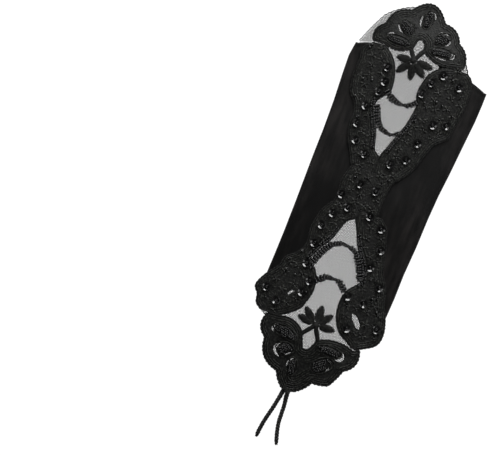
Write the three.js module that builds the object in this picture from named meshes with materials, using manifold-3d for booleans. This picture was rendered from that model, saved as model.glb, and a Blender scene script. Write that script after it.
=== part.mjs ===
// An evening mitten: a fingerless black satin sleeve, open at both ends, with sheer net in its V cuts,
// corded lace, strings of seed beads, cup sequins and two cord tails at the hand end.
// It lies flat, face up, with the arm end towards +Y. Lengths are in millimetres.
import * as THREE from "three";
import { mergeVertices } from "three/addons/utils/BufferGeometryUtils.js";
import { ParametricGeometry } from "three/addons/geometries/ParametricGeometry.js";
import Module from "manifold-3d";

const wasm = await Module();
wasm.setup();

// Satin sleeve
const sleeveLength = 190;
const sleeveWidth = 87;
const sleeveHeight = 10;
const hemHeight = 8.8;
const satinWall = 1;
const foldRadius = 1.6;

// Net, lace and the tongues past the hems
const netThickness = 1;
const laceWidth = 66;
const laceThickness = 1;
const laceRelief = 0.6;
const laceRim = 1.6;
const armCrestLength = 34.8;
const handCrestLength = 46.2;
const crestTipHeight = 2.7;
const leafWidth = 4.2;
const stemWidth = 3;
const scrollRadius = 5.4;

// Garlands of seed beads, waisted where two meet
const swagHeight = 2;
const swagLift = 0.1;
const swagWaist = 0.4;
const swagEnd = 0.6;

// Cup sequins with a bead in the middle
const sequinDiameter = 5.6;
const sequinDepth = 1.1;
const sequinBase = 0.4;
const sequinBeadGap = 0.2;
const sequinBeadDiameter = 1.9;

// Cord tails
const cordDiameter = 3.4;

// Clearances
const seatGap = 0.35;
const edgeGap = 0.35;

// Mesh steps
const bedWidth = 1.6 * sleeveWidth;
const bedLength = 1.1 * (sleeveLength + armCrestLength + handCrestLength);
const bedColumns = 16;
const bedRows = 19;
const bedCrowding = 0.35;
const sectionSteps = { top: 14, bottom: 4, fold: 3 };
const hemSteps = 8;
const curveSteps = 3;
const tubeSteps = 4;
const swagSteps = 7;
const cordSteps = 7;
const sequinSteps = 10;
const slopeStep = 1;

const armHem = (sleeveLength + handCrestLength - armCrestLength) / 2;
const handHem = armHem - sleeveLength;
const middle = (armHem + handHem) / 2;
const belowAll = sleeveHeight;
const tallEnough = 4 * sleeveHeight;

// Sides of the sleeve from hand hem to arm hem. along is a share of half the sleeve's length from its middle,
// left and right are shares of half its width.
const sleeveSides = [
  { along: -1, left: -1.0, right: 0.81 },
  { along: -0.91, left: -1.05, right: 0.86 },
  { along: -0.79, left: -1.06, right: 0.885 },
  { along: -0.64, left: -1.045, right: 0.905 },
  { along: -0.46, left: -1.03, right: 0.915 },
  { along: -0.25, left: -1.02, right: 0.95 },
  { along: -0.04, left: -1.015, right: 0.97 },
  { along: 0.14, left: -1.01, right: 1.0 },
  { along: 0.31, left: -1.0, right: 1.045 },
  { along: 0.52, left: -1.0, right: 1.09 },
  { along: 0.73, left: -1.015, right: 1.135 },
  { along: 0.88, left: -1.02, right: 1.15 },
  { along: 1, left: -0.985, right: 1.155 },
];

// How far each hem falls back from its middle at the sleeve's corners, and how sharply
const hemCorners = {
  arm: { left: { drop: 4.6, power: 5 }, right: { drop: 7.5, power: 2.6 } },
  hand: { left: { drop: 4, power: 2 }, right: { drop: 4, power: 2 } },
};

// V cuts of the satin, apex first. left and right are shares of the lace's width.
const armCut = [
  { along: 0.238, left: -0.045, right: -0.045 },
  { along: 0.27, left: -0.115, right: -0.02 },
  { along: 0.33, left: -0.15, right: 0.02 },
  { along: 0.47, left: -0.225, right: 0.1 },
  { along: 0.65, left: -0.29, right: 0.18 },
  { along: 1.1, left: -0.36, right: 0.23 },
];
const handCut = [
  { along: -0.185, left: -0.06, right: -0.06 },
  { along: -0.245, left: -0.155, right: 0 },
  { along: -0.385, left: -0.25, right: 0.095 },
  { along: -0.6, left: -0.385, right: 0.265 },
  { along: -0.79, left: -0.43, right: 0.25 },
  { along: -0.835, left: -0.46, right: 0.34 },
  { along: -0.93, left: -0.47, right: 0.42 },
  { along: -1.1, left: -0.48, right: 0.42 },
];

// Soft folds pressed into the satin: centre, reach and depth as shares of half the sleeve's length,
// half its width and its height. turn is in degrees.
const folds = [
  { along: 0.14, across: -0.7, reach: 0.26, spread: 0.18, turn: 24, depth: 0.08 },
  { along: 0.07, across: 0.66, reach: 0.28, spread: 0.18, turn: -22, depth: 0.08 },
  { along: -0.3, across: 0.68, reach: 0.24, spread: 0.17, turn: 30, depth: 0.07 },
  { along: -0.3, across: -0.76, reach: 0.3, spread: 0.16, turn: -10, depth: 0.07 },
  { along: 0.46, across: 0.88, reach: 0.28, spread: 0.16, turn: 8, depth: 0.06 },
];

const halfLength = sleeveLength / 2;
const halfWidth = sleeveWidth / 2;

// A value of a table's column at a share along, straight between rows and level past its ends.
function columnAt(rows, column, along) {
  if (along <= rows[0].along) return rows[0][column];
  for (let i = 1; i < rows.length; i += 1) {
    const low = rows[i - 1];
    const high = rows[i];
    if (along <= high.along) {
      return THREE.MathUtils.mapLinear(along, low.along, high.along, low[column], high[column]);
    }
  }
  return rows[rows.length - 1][column];
}

function sideAt(side, y) {
  return halfWidth * columnAt(sleeveSides, side, (y - middle) / halfLength);
}

// Height of the crown of the front layer at a place along the mitten.
function crownAt(y) {
  if (y > armHem) {
    const past = THREE.MathUtils.smoothstep(y, armHem, armHem + armCrestLength);
    return THREE.MathUtils.lerp(hemHeight, crestTipHeight, past);
  }
  if (y < handHem) {
    const past = THREE.MathUtils.smoothstep(-y, -handHem, handCrestLength - handHem);
    return THREE.MathUtils.lerp(hemHeight, crestTipHeight, past);
  }
  const share = Math.abs(y - middle) / halfLength;
  return sleeveHeight + (hemHeight - sleeveHeight) * share ** 2;
}

// Height of the front layer at its side folds, which the crests leave behind as they droop.
function brinkAt(y) {
  const foldHeight = 2 * foldRadius;
  const reach = y > middle ? armCrestLength : handCrestLength;
  const past = THREE.MathUtils.smoothstep(Math.max(y - armHem, handHem - y, 0), 0, reach);
  return THREE.MathUtils.lerp(foldHeight, Math.min(foldHeight, crestTipHeight), past);
}

function foldDepth(x, y) {
  let depth = 0;
  for (const fold of folds) {
    const angle = THREE.MathUtils.degToRad(fold.turn);
    const dx = x - fold.across * halfWidth;
    const dy = y - middle - fold.along * halfLength;
    const lengthwise = (dy * Math.cos(angle) + dx * Math.sin(angle)) / (fold.reach * halfLength);
    const sideways = (dx * Math.cos(angle) - dy * Math.sin(angle)) / (fold.spread * halfWidth);
    depth += fold.depth * sleeveHeight * Math.exp(-(lengthwise ** 2) - sideways ** 2);
  }
  return depth;
}

// Top of the front layer of cloth. Everything sewn on it is laid by this one surface.
function frontTop(x, y) {
  const left = sideAt("left", y) + foldRadius;
  const right = sideAt("right", y) - foldRadius;
  const share = Math.min(1, Math.abs(x - (left + right) / 2) / ((right - left) / 2));
  const bulge = (1 - share ** 3) ** 2;
  return brinkAt(y) + (crownAt(y) - brinkAt(y)) * bulge - foldDepth(x, y) * bulge ** 0.5;
}

function solidOf(geometry) {
  const bare = geometry.clone();
  bare.deleteAttribute("normal");
  bare.deleteAttribute("uv");
  const merged = mergeVertices(bare, 1e-4);
  return new wasm.Manifold(new wasm.Mesh({
    numProp: 3,
    vertProperties: new Float32Array(merged.getAttribute("position").array),
    triVerts: new Uint32Array(merged.getIndex().array),
  }));
}

function geometryOf(solid) {
  const mesh = solid.getMesh();
  const geometry = new THREE.BufferGeometry();
  geometry.setAttribute("position", new THREE.BufferAttribute(new Float32Array(mesh.vertProperties), 3));
  geometry.setIndex(new THREE.BufferAttribute(new Uint32Array(mesh.triVerts), 1));
  geometry.computeVertexNormals();
  return geometry;
}

function joined(solids) {
  return solids.reduce((sum, solid) => sum.add(solid));
}

// A layer of even thickness that follows a height function, over the whole mitten. Its rows crowd
// towards the drooping ends, and its squares are split alike above and below, so that layers run parallel.
function layerOver(heightAt, low, high) {
  const box = new THREE.BoxGeometry(bedWidth, bedLength, 1, bedColumns, bedRows, 1);
  const position = box.getAttribute("position");
  for (let i = 0; i < position.count; i += 1) {
    const share = (2 * position.getY(i)) / bedLength;
    const y = (bedLength / 2) * ((1 + bedCrowding) * share - bedCrowding * share ** 3);
    const lift = position.getZ(i) > 0 ? high : low;
    position.setXYZ(i, position.getX(i), y, heightAt(position.getX(i), y) + lift);
  }
  const index = box.getIndex();
  const underside = box.groups[5];
  for (let i = underside.start; i < underside.start + underside.count; i += 6) {
    const [a, b, c, d] = [0, 1, 4, 2].map((step) => index.getX(i + step));
    [a, b, c, a, c, d].forEach((corner, step) => index.setX(i + step, corner));
  }
  return solidOf(box);
}

const laceLow = seatGap;
const laceHigh = laceLow + laceThickness;
const frontNetLayer = layerOver(frontTop, -netThickness, 0);
const backNetLayer = layerOver(() => 0, 0, netThickness);
const laceLayer = layerOver(frontTop, laceLow, laceHigh);
const reliefLayer = layerOver(frontTop, (laceLow + laceHigh) / 2, laceHigh + laceRelief);

function prism(shape) {
  const geometry = new THREE.ExtrudeGeometry(shape, {
    depth: tallEnough,
    bevelEnabled: false,
    curveSegments: curveSteps,
  });
  geometry.translate(0, 0, -belowAll);
  return solidOf(geometry);
}

// Places of the tables. across is a share of the lace's width from the lace's middle line.
function onSleeve(across, along) {
  return new THREE.Vector2(across * laceWidth, middle + along * halfLength);
}

function onArmCrest(across, out) {
  return new THREE.Vector2(across * laceWidth, armHem + out * armCrestLength);
}

function onHandCrest(across, out) {
  return new THREE.Vector2(across * laceWidth, handHem - out * handCrestLength);
}

// The middle of an arc from one point to another, pushed aside by a share of the distance between them.
function arcControl(from, to, bulge) {
  const chord = to.clone().sub(from);
  const aside = new THREE.Vector2(-chord.y, chord.x).multiplyScalar(2 * bulge);
  return from.clone().add(to).multiplyScalar(0.5).add(aside);
}

// A closed outline of arcs. bulge is the arc from a row's point to the next one, to the left of its way.
function arcShape(rows, place, mirrored = 1) {
  const points = rows.map((row) => place(row.across, row.out));
  const shape = new THREE.Shape();
  shape.moveTo(points[0].x, points[0].y);
  rows.forEach((row, i) => {
    const to = points[(i + 1) % points.length];
    if (row.bulge) {
      const control = arcControl(points[i], to, mirrored * row.bulge);
      shape.quadraticCurveTo(control.x, control.y, to.x, to.y);
    } else {
      shape.lineTo(to.x, to.y);
    }
  });
  return shape;
}

// A band between an outer and an inner edge, or the strip of it as wide as an inset from its outer edge
function bandShape(rows, outerColumn, innerColumn, inset = 0) {
  const outerEdge = rows.map((row) => onSleeve(row[outerColumn], row.along));
  const innerEdge = rows.map((row) => onSleeve(row[innerColumn], row.along));
  const inwards = new THREE.Vector2(Math.sign(innerEdge[0].x - outerEdge[0].x) * inset, 0);
  const farEdge = inset ? outerEdge.map((point) => point.clone().add(inwards)) : innerEdge;
  return new THREE.Shape([...outerEdge, ...farEdge.reverse()]);
}

// A slim crescent around an arc, pointed at both ends.
function crescentShape(from, to, bulge, width) {
  const control = arcControl(from, to, bulge);
  const line = new THREE.QuadraticBezierCurve(from, control, to);
  const aside = [0.25, 0.5, 0.75].map((t) => {
    const tangent = line.getTangent(t);
    return { at: line.getPoint(t), normal: new THREE.Vector2(-tangent.y, tangent.x).multiplyScalar(width / 2) };
  });
  const oneEdge = aside.map(({ at, normal }) => at.clone().add(normal));
  const otherEdge = aside.map(({ at, normal }) => at.clone().sub(normal)).reverse();
  return new THREE.Shape([from, ...oneEdge, to, ...otherEdge]);
}

function leafShape(from, to, width) {
  const side = arcControl(from, to, width / (2 * from.distanceTo(to)));
  const otherSide = arcControl(from, to, -width / (2 * from.distanceTo(to)));
  const shape = new THREE.Shape();
  shape.moveTo(from.x, from.y);
  shape.quadraticCurveTo(side.x, side.y, to.x, to.y);
  shape.quadraticCurveTo(otherSide.x, otherSide.y, from.x, from.y);
  return shape;
}

function barShape(from, to, width) {
  const aside = to.clone().sub(from).normalize().multiplyScalar(width / 2);
  const normal = new THREE.Vector2(-aside.y, aside.x);
  return new THREE.Shape([
    from.clone().add(normal), to.clone().add(normal), to.clone().sub(normal), from.clone().sub(normal),
  ]);
}

// Looks in plain colours
function finish(color, roughness, metalness = 0) {
  return () => new THREE.MeshStandardMaterial({ color, roughness, metalness });
}

const satin = finish(0x141413, 0.45);
const net = finish(0x6a6a68, 0.8);
const lace = finish(0x22231f, 0.7);
const jet = finish(0x101010, 0.15);
const gloss = finish(0x1a1a1a, 0.2, 0.4);
const cord = finish(0x181816, 0.6);

const mitten = new THREE.Group();

function addPiece(name, geometry, material) {
  const mesh = new THREE.Mesh(geometry, material());
  mesh.name = name;
  mitten.add(mesh);
  return mesh;
}

// How far a hem falls back at a share of half the sleeve's width
function hemDrop(corners, share) {
  const { drop, power } = share < 0 ? corners.left : corners.right;
  return drop * Math.min(1, Math.abs(share)) ** power;
}

// The sleeve is a flattened tube. Its wall goes round the tube, and along it outside and back inside.
function sleeveGeometry() {
  const { top, bottom, fold } = sectionSteps;
  const around = top + bottom + 2 * fold;
  const rings = sleeveSides.length;
  const rising = Array.from({ length: top + 1 }, (_, i) => -Math.cos((Math.PI * i) / top));
  const sectionPoint = (ring, step, inset, target) => {
    const row = sleeveSides[ring];
    const level = middle + row.along * halfLength;
    const left = halfWidth * row.left + foldRadius;
    const right = halfWidth * row.right - foldRadius;
    const radius = foldRadius - inset;
    let x = 0;
    let z = 0;
    if (step < top) {
      x = THREE.MathUtils.lerp(left, right, (rising[step] + 1) / 2);
      z = frontTop(x, level) - inset;
    } else if (step < top + fold) {
      const angle = Math.PI / 2 - (Math.PI * (step - top)) / fold;
      x = right + radius * Math.cos(angle);
      z = foldRadius + radius * Math.sin(angle);
    } else if (step < top + fold + bottom) {
      x = THREE.MathUtils.lerp(right, left, (step - top - fold) / bottom);
      z = inset;
    } else {
      const angle = -Math.PI / 2 - (Math.PI * (step - around + fold)) / fold;
      x = left + radius * Math.cos(angle);
      z = foldRadius + radius * Math.sin(angle);
    }
    const share = (2 * x - left - right) / (right - left);
    const drop = row.along > 0 ? -hemDrop(hemCorners.arm, share) : hemDrop(hemCorners.hand, share);
    target.set(x, level + drop * row.along ** 4, z);
  };
  const wall = (u, v, target) => {
    const step = Math.round(u * around) % around;
    const turn = Math.round(v * 2 * rings) % (2 * rings);
    const outside = turn < rings;
    const ring = outside ? turn : 2 * rings - 1 - turn;
    sectionPoint(ring, step, outside ? 0 : satinWall, target);
  };
  return new ParametricGeometry(wall, around, 2 * rings);
}

// Outline of the sleeve as seen from above, grown by a clearance.
function sleeveShape(grow) {
  const hemEdge = (row, corners, outwards) => Array.from({ length: hemSteps + 1 }, (_, i) => {
    const share = (2 * i) / hemSteps - 1;
    const left = halfWidth * row.left - grow;
    const right = halfWidth * row.right + grow;
    const x = THREE.MathUtils.mapLinear(share, -1, 1, left, right);
    const hem = middle + row.along * halfLength;
    return new THREE.Vector2(x, hem + outwards * (grow - hemDrop(corners, share)));
  });
  const armEdge = hemEdge(sleeveSides[sleeveSides.length - 1], hemCorners.arm, 1);
  const handEdge = hemEdge(sleeveSides[0], hemCorners.hand, -1);
  const between = sleeveSides.slice(1, -1);
  const levelOf = (row) => middle + row.along * halfLength;
  const rightEdge = between.map((row) => new THREE.Vector2(halfWidth * row.right + grow, levelOf(row)));
  const leftEdge = between.map((row) => new THREE.Vector2(halfWidth * row.left - grow, levelOf(row)));
  return new THREE.Shape([...handEdge, ...rightEdge, ...armEdge.reverse(), ...leftEdge.reverse()]);
}

function cutShape(rows, inset) {
  const apex = rows[0];
  const towards = Math.sign(rows[1].along - apex.along);
  const leftEdge = rows.map((row) => onSleeve(row.left, row.along).add(new THREE.Vector2(inset, 0)));
  const rightEdge = rows.map((row) => onSleeve(row.right, row.along).sub(new THREE.Vector2(inset, 0)));
  const tip = onSleeve((apex.left + apex.right) / 2, apex.along).add(new THREE.Vector2(0, towards * 3 * inset));
  return new THREE.Shape([tip, ...leftEdge.slice(1), ...rightEdge.slice(1).reverse()]);
}

const cuts = prism(cutShape(armCut, 0)).add(prism(cutShape(handCut, 0)));
addPiece("satin_sleeve", geometryOf(solidOf(sleeveGeometry()).subtract(cuts)), satin);

// Net tongues past the hems. The arm's tongue shows beside its crest.
const armTongue = [
  { across: -0.62, out: -0.3, bulge: 0 },
  { across: -0.62, out: -0.1, bulge: 0.02 },
  { across: -0.465, out: 0.535, bulge: 0.07 },
  { across: -0.157, out: 0.895, bulge: 0.08 },
  { across: 0.035, out: 0.9, bulge: 0.02 },
  { across: 0.376, out: 0.367, bulge: 0.03 },
  { across: 0.52, out: -0.02, bulge: 0 },
  { across: 0.53, out: -0.3, bulge: 0 },
];
const handTongue = [
  { across: -0.65, out: -0.2, bulge: 0 },
  { across: -0.65, out: 0.03, bulge: 0 },
  { across: -0.57, out: 0.1, bulge: 0 },
  { across: -0.5, out: 0.2, bulge: -0.04 },
  { across: -0.42, out: 0.55, bulge: -0.08 },
  { across: -0.08, out: 0.92, bulge: -0.06 },
  { across: 0.26, out: 0.6, bulge: -0.04 },
  { across: 0.4, out: 0.14, bulge: 0 },
  { across: 0.42, out: -0.2, bulge: 0 },
];

// Net fills a cut of the satin and the tongue past that hem, a clearance away from the satin all round.
function netPiece(cut, tongue, place, netLayer) {
  const past = prism(arcShape(tongue, place)).subtract(prism(sleeveShape(edgeGap)));
  const inside = prism(cutShape(cut, edgeGap)).intersect(prism(sleeveShape(2 * edgeGap)));
  return geometryOf(past.add(inside).intersect(netLayer));
}

addPiece("net_front_arm", netPiece(armCut, armTongue, onArmCrest, frontNetLayer), net);
addPiece("net_front_hand", netPiece(handCut, handTongue, onHandCrest, frontNetLayer), net);
addPiece("net_back_arm", netPiece(armCut, armTongue, onArmCrest, backNetLayer), net);
addPiece("net_back_hand", netPiece(handCut, handTongue, onHandCrest, backNetLayer), net);

// Crests: scalloped outline, raised petals and slits. out is a share of the crest's length past the hem.
const armCrest = [
  { across: -0.49, out: 0.02, bulge: 0.2 },
  { across: -0.422, out: 0.385, bulge: 0.2 },
  { across: -0.227, out: 0.775, bulge: 0.38 },
  { across: 0.125, out: 0.743, bulge: 0.19 },
  { across: 0.323, out: 0.478, bulge: 0.18 },
  { across: 0.442, out: 0.065, bulge: 0 },
  { across: 0.347, out: 0.03, bulge: 0.13 },
  { across: 0.034, out: 0.125, bulge: 0 },
  { across: 0.011, out: 0.266, bulge: -0.5 },
  { across: -0.091, out: 0.206, bulge: 0 },
  { across: -0.104, out: 0.116, bulge: 0.16 },
  { across: -0.368, out: 0.03, bulge: 0 },
];
const armPetals = [
  { across: -0.258, out: 0.155, long: 0.28, wide: 0.12, turn: 0 },
  { across: -0.212, out: 0.45, long: 0.2, wide: 0.13, turn: 145 },
  { across: -0.043, out: 0.723, long: 0.21, wide: 0.115, turn: 88 },
  { across: 0.155, out: 0.467, long: 0.2, wide: 0.13, turn: 38 },
  { across: 0.19, out: 0.207, long: 0.26, wide: 0.12, turn: 8 },
];
const armSlits = [
  { across: -0.389, out: 0.125, toAcross: -0.303, toOut: 0.263, bulge: 0.25, width: 1.2 },
  { across: -0.309, out: 0.474, toAcross: -0.237, toOut: 0.317, bulge: -0.12, width: 1.2 },
  { across: -0.199, out: 0.545, toAcross: -0.138, toOut: 0.47, bulge: 0.1, width: 1.1 },
  { across: -0.09, out: 0.542, toAcross: -0.105, toOut: 0.769, bulge: 0.1, width: 1.1 },
  { across: -0.049, out: 0.893, toAcross: 0.025, toOut: 0.77, bulge: 0.2, width: 1.3 },
  { across: 0.101, out: 0.556, toAcross: 0.205, toOut: 0.568, bulge: 0.15, width: 1.1 },
  { across: 0.235, out: 0.499, toAcross: 0.201, toOut: 0.367, bulge: 0.2, width: 1.2 },
  { across: 0.285, out: 0.288, toAcross: 0.285, toOut: 0.149, bulge: 0.4, width: 2.2 },
  { across: 0.122, out: 0.114, toAcross: 0.268, toOut: 0.12, bulge: -0.06, width: 1 },
];
const handCrest = [
  { across: -0.545, out: 0.065, bulge: 0.22 },
  { across: -0.487, out: 0.391, bulge: 0.2 },
  { across: -0.265, out: 0.78, bulge: 0.07 },
  { across: -0.152, out: 0.998, bulge: 0 },
  { across: -0.044, out: 0.985, bulge: 0.07 },
  { across: 0.099, out: 0.777, bulge: 0.05 },
  { across: 0.261, out: 0.737, bulge: 0.03 },
  { across: 0.35, out: 0.47, bulge: 0.22 },
  { across: 0.435, out: 0.125, bulge: 0 },
  { across: 0.384, out: 0.177, bulge: 0.12 },
  { across: 0.016, out: 0.194, bulge: 0 },
  { across: -0.03, out: 0.34, bulge: -0.2 },
  { across: -0.112, out: 0.369, bulge: 0 },
  { across: -0.177, out: 0.14, bulge: 0.16 },
  { across: -0.427, out: 0.052, bulge: 0 },
];
const handPetals = [
  { across: -0.319, out: 0.23, long: 0.29, wide: 0.13, turn: 12 },
  { across: -0.268, out: 0.454, long: 0.2, wide: 0.14, turn: -8 },
  { across: -0.141, out: 0.66, long: 0.2, wide: 0.12, turn: 80 },
  { across: 0.138, out: 0.501, long: 0.26, wide: 0.16, turn: -35 },
  { across: 0.165, out: 0.275, long: 0.28, wide: 0.12, turn: 3 },
];
const handSlits = [
  { across: -0.429, out: 0.158, toAcross: -0.436, toOut: 0.282, bulge: 0.25, width: 1.5 },
  { across: -0.312, out: 0.369, toAcross: -0.283, toOut: 0.599, bulge: 0.42, width: 1.7 },
  { across: -0.257, out: 0.535, toAcross: -0.194, toOut: 0.472, bulge: 0, width: 1.3 },
  { across: -0.191, out: 0.693, toAcross: -0.143, toOut: 0.54, bulge: -0.2, width: 1 },
  { across: 0.18, out: 0.438, toAcross: 0.191, toOut: 0.587, bulge: -0.2, width: 1.4 },
  { across: 0.285, out: 0.224, toAcross: 0.238, toOut: 0.363, bulge: -0.45, width: 2.3 },
];

function petalShape(petal, place, outwards) {
  const centre = place(petal.across, petal.out);
  const angle = outwards * THREE.MathUtils.degToRad(petal.turn);
  const shape = new THREE.Shape();
  shape.absellipse(
    centre.x, centre.y, (petal.long * laceWidth) / 2, (petal.wide * laceWidth) / 2,
    0, 2 * Math.PI, false, angle,
  );
  return shape;
}

function crestPiece(outline, petals, slits, place, outwards) {
  const ground = prism(arcShape(outline, place, outwards));
  const raised = joined(petals.map((petal) => prism(petalShape(petal, place, outwards)))).intersect(ground);
  const holes = slits.map((slit) => prism(crescentShape(
    place(slit.across, slit.out), place(slit.toAcross, slit.toOut), outwards * slit.bulge, slit.width,
  )));
  const body = ground.intersect(laceLayer).add(raised.intersect(reliefLayer));
  return geometryOf(body.subtract(joined(holes)));
}

addPiece("lace_crest_arm", crestPiece(armCrest, armPetals, armSlits, onArmCrest, 1), lace);
addPiece("lace_crest_hand", crestPiece(handCrest, handPetals, handSlits, onHandCrest, -1), lace);

// Lace bands on the satin beside the windows. outer and inner are shares of the lace's width.
const armLeftBand = [
  { along: 0.99, outer: -0.47, inner: -0.35 },
  { along: 0.93, outer: -0.56, inner: -0.253 },
  { along: 0.85, outer: -0.55, inner: -0.192 },
  { along: 0.74, outer: -0.56, inner: -0.16 },
  { along: 0.68, outer: -0.55, inner: -0.19 },
  { along: 0.61, outer: -0.52, inner: -0.262 },
  { along: 0.55, outer: -0.45, inner: -0.25 },
  { along: 0.471, outer: -0.42, inner: -0.2 },
  { along: 0.387, outer: -0.42, inner: -0.152 },
  { along: 0.29, outer: -0.38, inner: -0.115 },
  { along: 0.24, outer: -0.34, inner: -0.048 },
  { along: 0.15, outer: -0.27, inner: -0.055 },
];
const armRightBand = [
  { along: 1, outer: 0.5, inner: 0.36 },
  { along: 0.97, outer: 0.56, inner: 0.245 },
  { along: 0.91, outer: 0.59, inner: 0.155 },
  { along: 0.81, outer: 0.6, inner: 0.11 },
  { along: 0.74, outer: 0.59, inner: 0.108 },
  { along: 0.67, outer: 0.58, inner: 0.14 },
  { along: 0.6, outer: 0.56, inner: 0.129 },
  { along: 0.53, outer: 0.54, inner: 0.11 },
  { along: 0.46, outer: 0.43, inner: 0.075 },
  { along: 0.36, outer: 0.375, inner: 0.02 },
  { along: 0.24, outer: 0.315, inner: -0.036 },
  { along: 0.15, outer: 0.21, inner: -0.035 },
];
const handLeftBand = [
  { along: -0.16, outer: -0.32, inner: -0.055 },
  { along: -0.2, outer: -0.37, inner: -0.056 },
  { along: -0.245, outer: -0.4, inner: -0.132 },
  { along: -0.34, outer: -0.43, inner: -0.182 },
  { along: -0.393, outer: -0.43, inner: -0.21 },
  { along: -0.485, outer: -0.42, inner: -0.292 },
  { along: -0.565, outer: -0.48, inner: -0.34 },
  { along: -0.62, outer: -0.57, inner: -0.277 },
  { along: -0.69, outer: -0.6, inner: -0.219 },
  { along: -0.78, outer: -0.7, inner: -0.205 },
  { along: -0.87, outer: -0.757, inner: -0.237 },
  { along: -0.925, outer: -0.712, inner: -0.275 },
  { along: -0.985, outer: -0.69, inner: -0.375 },
  { along: -1.017, outer: -0.63, inner: -0.45 },
];
const handRightBand = [
  { along: -0.16, outer: 0.19, inner: -0.04 },
  { along: -0.2, outer: 0.27, inner: -0.047 },
  { along: -0.276, outer: 0.31, inner: 0.005 },
  { along: -0.387, outer: 0.355, inner: 0.075 },
  { along: -0.487, outer: 0.385, inner: 0.165 },
  { along: -0.59, outer: 0.47, inner: 0.222 },
  { along: -0.64, outer: 0.49, inner: 0.19 },
  { along: -0.7, outer: 0.51, inner: 0.117 },
  { along: -0.79, outer: 0.57, inner: 0.09 },
  { along: -0.88, outer: 0.605, inner: 0.105 },
  { along: -0.95, outer: 0.6, inner: 0.15 },
  { along: -0.995, outer: 0.56, inner: 0.205 },
  { along: -1.03, outer: 0.48, inner: 0.295 },
  { along: -1.055, outer: 0.41, inner: 0.35 },
];

// A drop-shaped hole in the lace of the hand's right band, and a short slit in the left one
const handRightSlit = {
  across: 0.247, along: -0.834, toAcross: 0.366, toAlong: -0.924, bulge: 0.03, width: 3.6,
};
const handLeftSlit = {
  across: -0.43, along: -0.865, toAcross: -0.37, toAlong: -0.815, bulge: 0.1, width: 1.6,
};

function bandPiece(rows, slit) {
  const ground = prism(bandShape(rows, "outer", "inner")).intersect(laceLayer);
  const rim = prism(bandShape(rows.slice(1, -2), "outer", "inner", laceRim)).intersect(reliefLayer);
  const band = ground.add(rim.intersect(prism(bandShape(rows, "outer", "inner"))));
  if (!slit) return geometryOf(band);
  const from = onSleeve(slit.across, slit.along);
  const to = onSleeve(slit.toAcross, slit.toAlong);
  return geometryOf(band.subtract(prism(crescentShape(from, to, slit.bulge, slit.width))));
}

addPiece("lace_arm_left", bandPiece(armLeftBand), lace);
addPiece("lace_arm_right", bandPiece(armRightBand), lace);
addPiece("lace_hand_left", bandPiece(handLeftBand, handLeftSlit), lace);
addPiece("lace_hand_right", bandPiece(handRightBand, handRightSlit), lace);

// Medallion between the bands, with two raised scrolls
const medallion = [
  { along: 0.135, left: -0.26, right: 0.19 },
  { along: 0.07, left: -0.29, right: 0.16 },
  { along: 0.01, left: -0.31, right: 0.15 },
  { along: -0.06, left: -0.3, right: 0.14 },
  { along: -0.11, left: -0.3, right: 0.14 },
  { along: -0.145, left: -0.31, right: 0.14 },
];
const scrolls = [
  { across: -0.12, along: 0.032 },
  { across: 0.047, along: 0.017 },
];

function scrollShape({ across, along }) {
  const centre = onSleeve(across, along);
  const shape = new THREE.Shape();
  shape.absarc(centre.x, centre.y, scrollRadius, 0, 2 * Math.PI, false);
  const eye = new THREE.Path();
  eye.absarc(centre.x, centre.y, scrollRadius - laceRim, 0, 2 * Math.PI, true);
  shape.holes.push(eye);
  return shape;
}

const medallionGround = prism(bandShape(medallion, "left", "right"));
const scrollRings = joined(scrolls.map((scroll) => prism(scrollShape(scroll)))).intersect(medallionGround);
addPiece(
  "lace_medallion",
  geometryOf(medallionGround.intersect(laceLayer).add(scrollRings.intersect(reliefLayer))),
  lace,
);

// Leaf flowers on the net: five leaves and two stems from one centre
const armFlower = {
  centre: { across: -0.048, along: 0.964 },
  tips: [
    { across: -0.222, along: 0.945 },
    { across: -0.173, along: 0.844 },
    { across: -0.011, along: 0.824 },
    { across: 0.113, along: 0.866 },
    { across: 0.165, along: 0.949 },
  ],
  stems: [
    { across: -0.096, along: 1.022 },
    { across: 0.008, along: 1.03 },
  ],
};
const handFlower = {
  centre: { across: -0.061, along: -0.995 },
  tips: [
    { across: -0.262, along: -0.97 },
    { across: -0.22, along: -0.895 },
    { across: -0.057, along: -0.848 },
    { across: 0.075, along: -0.89 },
    { across: 0.142, along: -0.989 },
  ],
  stems: [
    { across: -0.14, along: -1.062 },
    { across: -0.005, along: -1.068 },
  ],
};

function flowerPiece({ centre, tips, stems }) {
  const from = onSleeve(centre.across, centre.along);
  const leaves = tips.map((tip) => prism(leafShape(from, onSleeve(tip.across, tip.along), leafWidth)));
  const bars = stems.map((stem) => prism(barShape(from, onSleeve(stem.across, stem.along), stemWidth)));
  const heart = new THREE.Shape();
  heart.absarc(from.x, from.y, stemWidth, 0, 2 * Math.PI, false);
  return geometryOf(joined([prism(heart), ...leaves, ...bars]).intersect(laceLayer));
}

addPiece("leaf_flower_arm", flowerPiece(armFlower), lace);
addPiece("leaf_flower_hand", flowerPiece(handFlower), lace);

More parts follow.
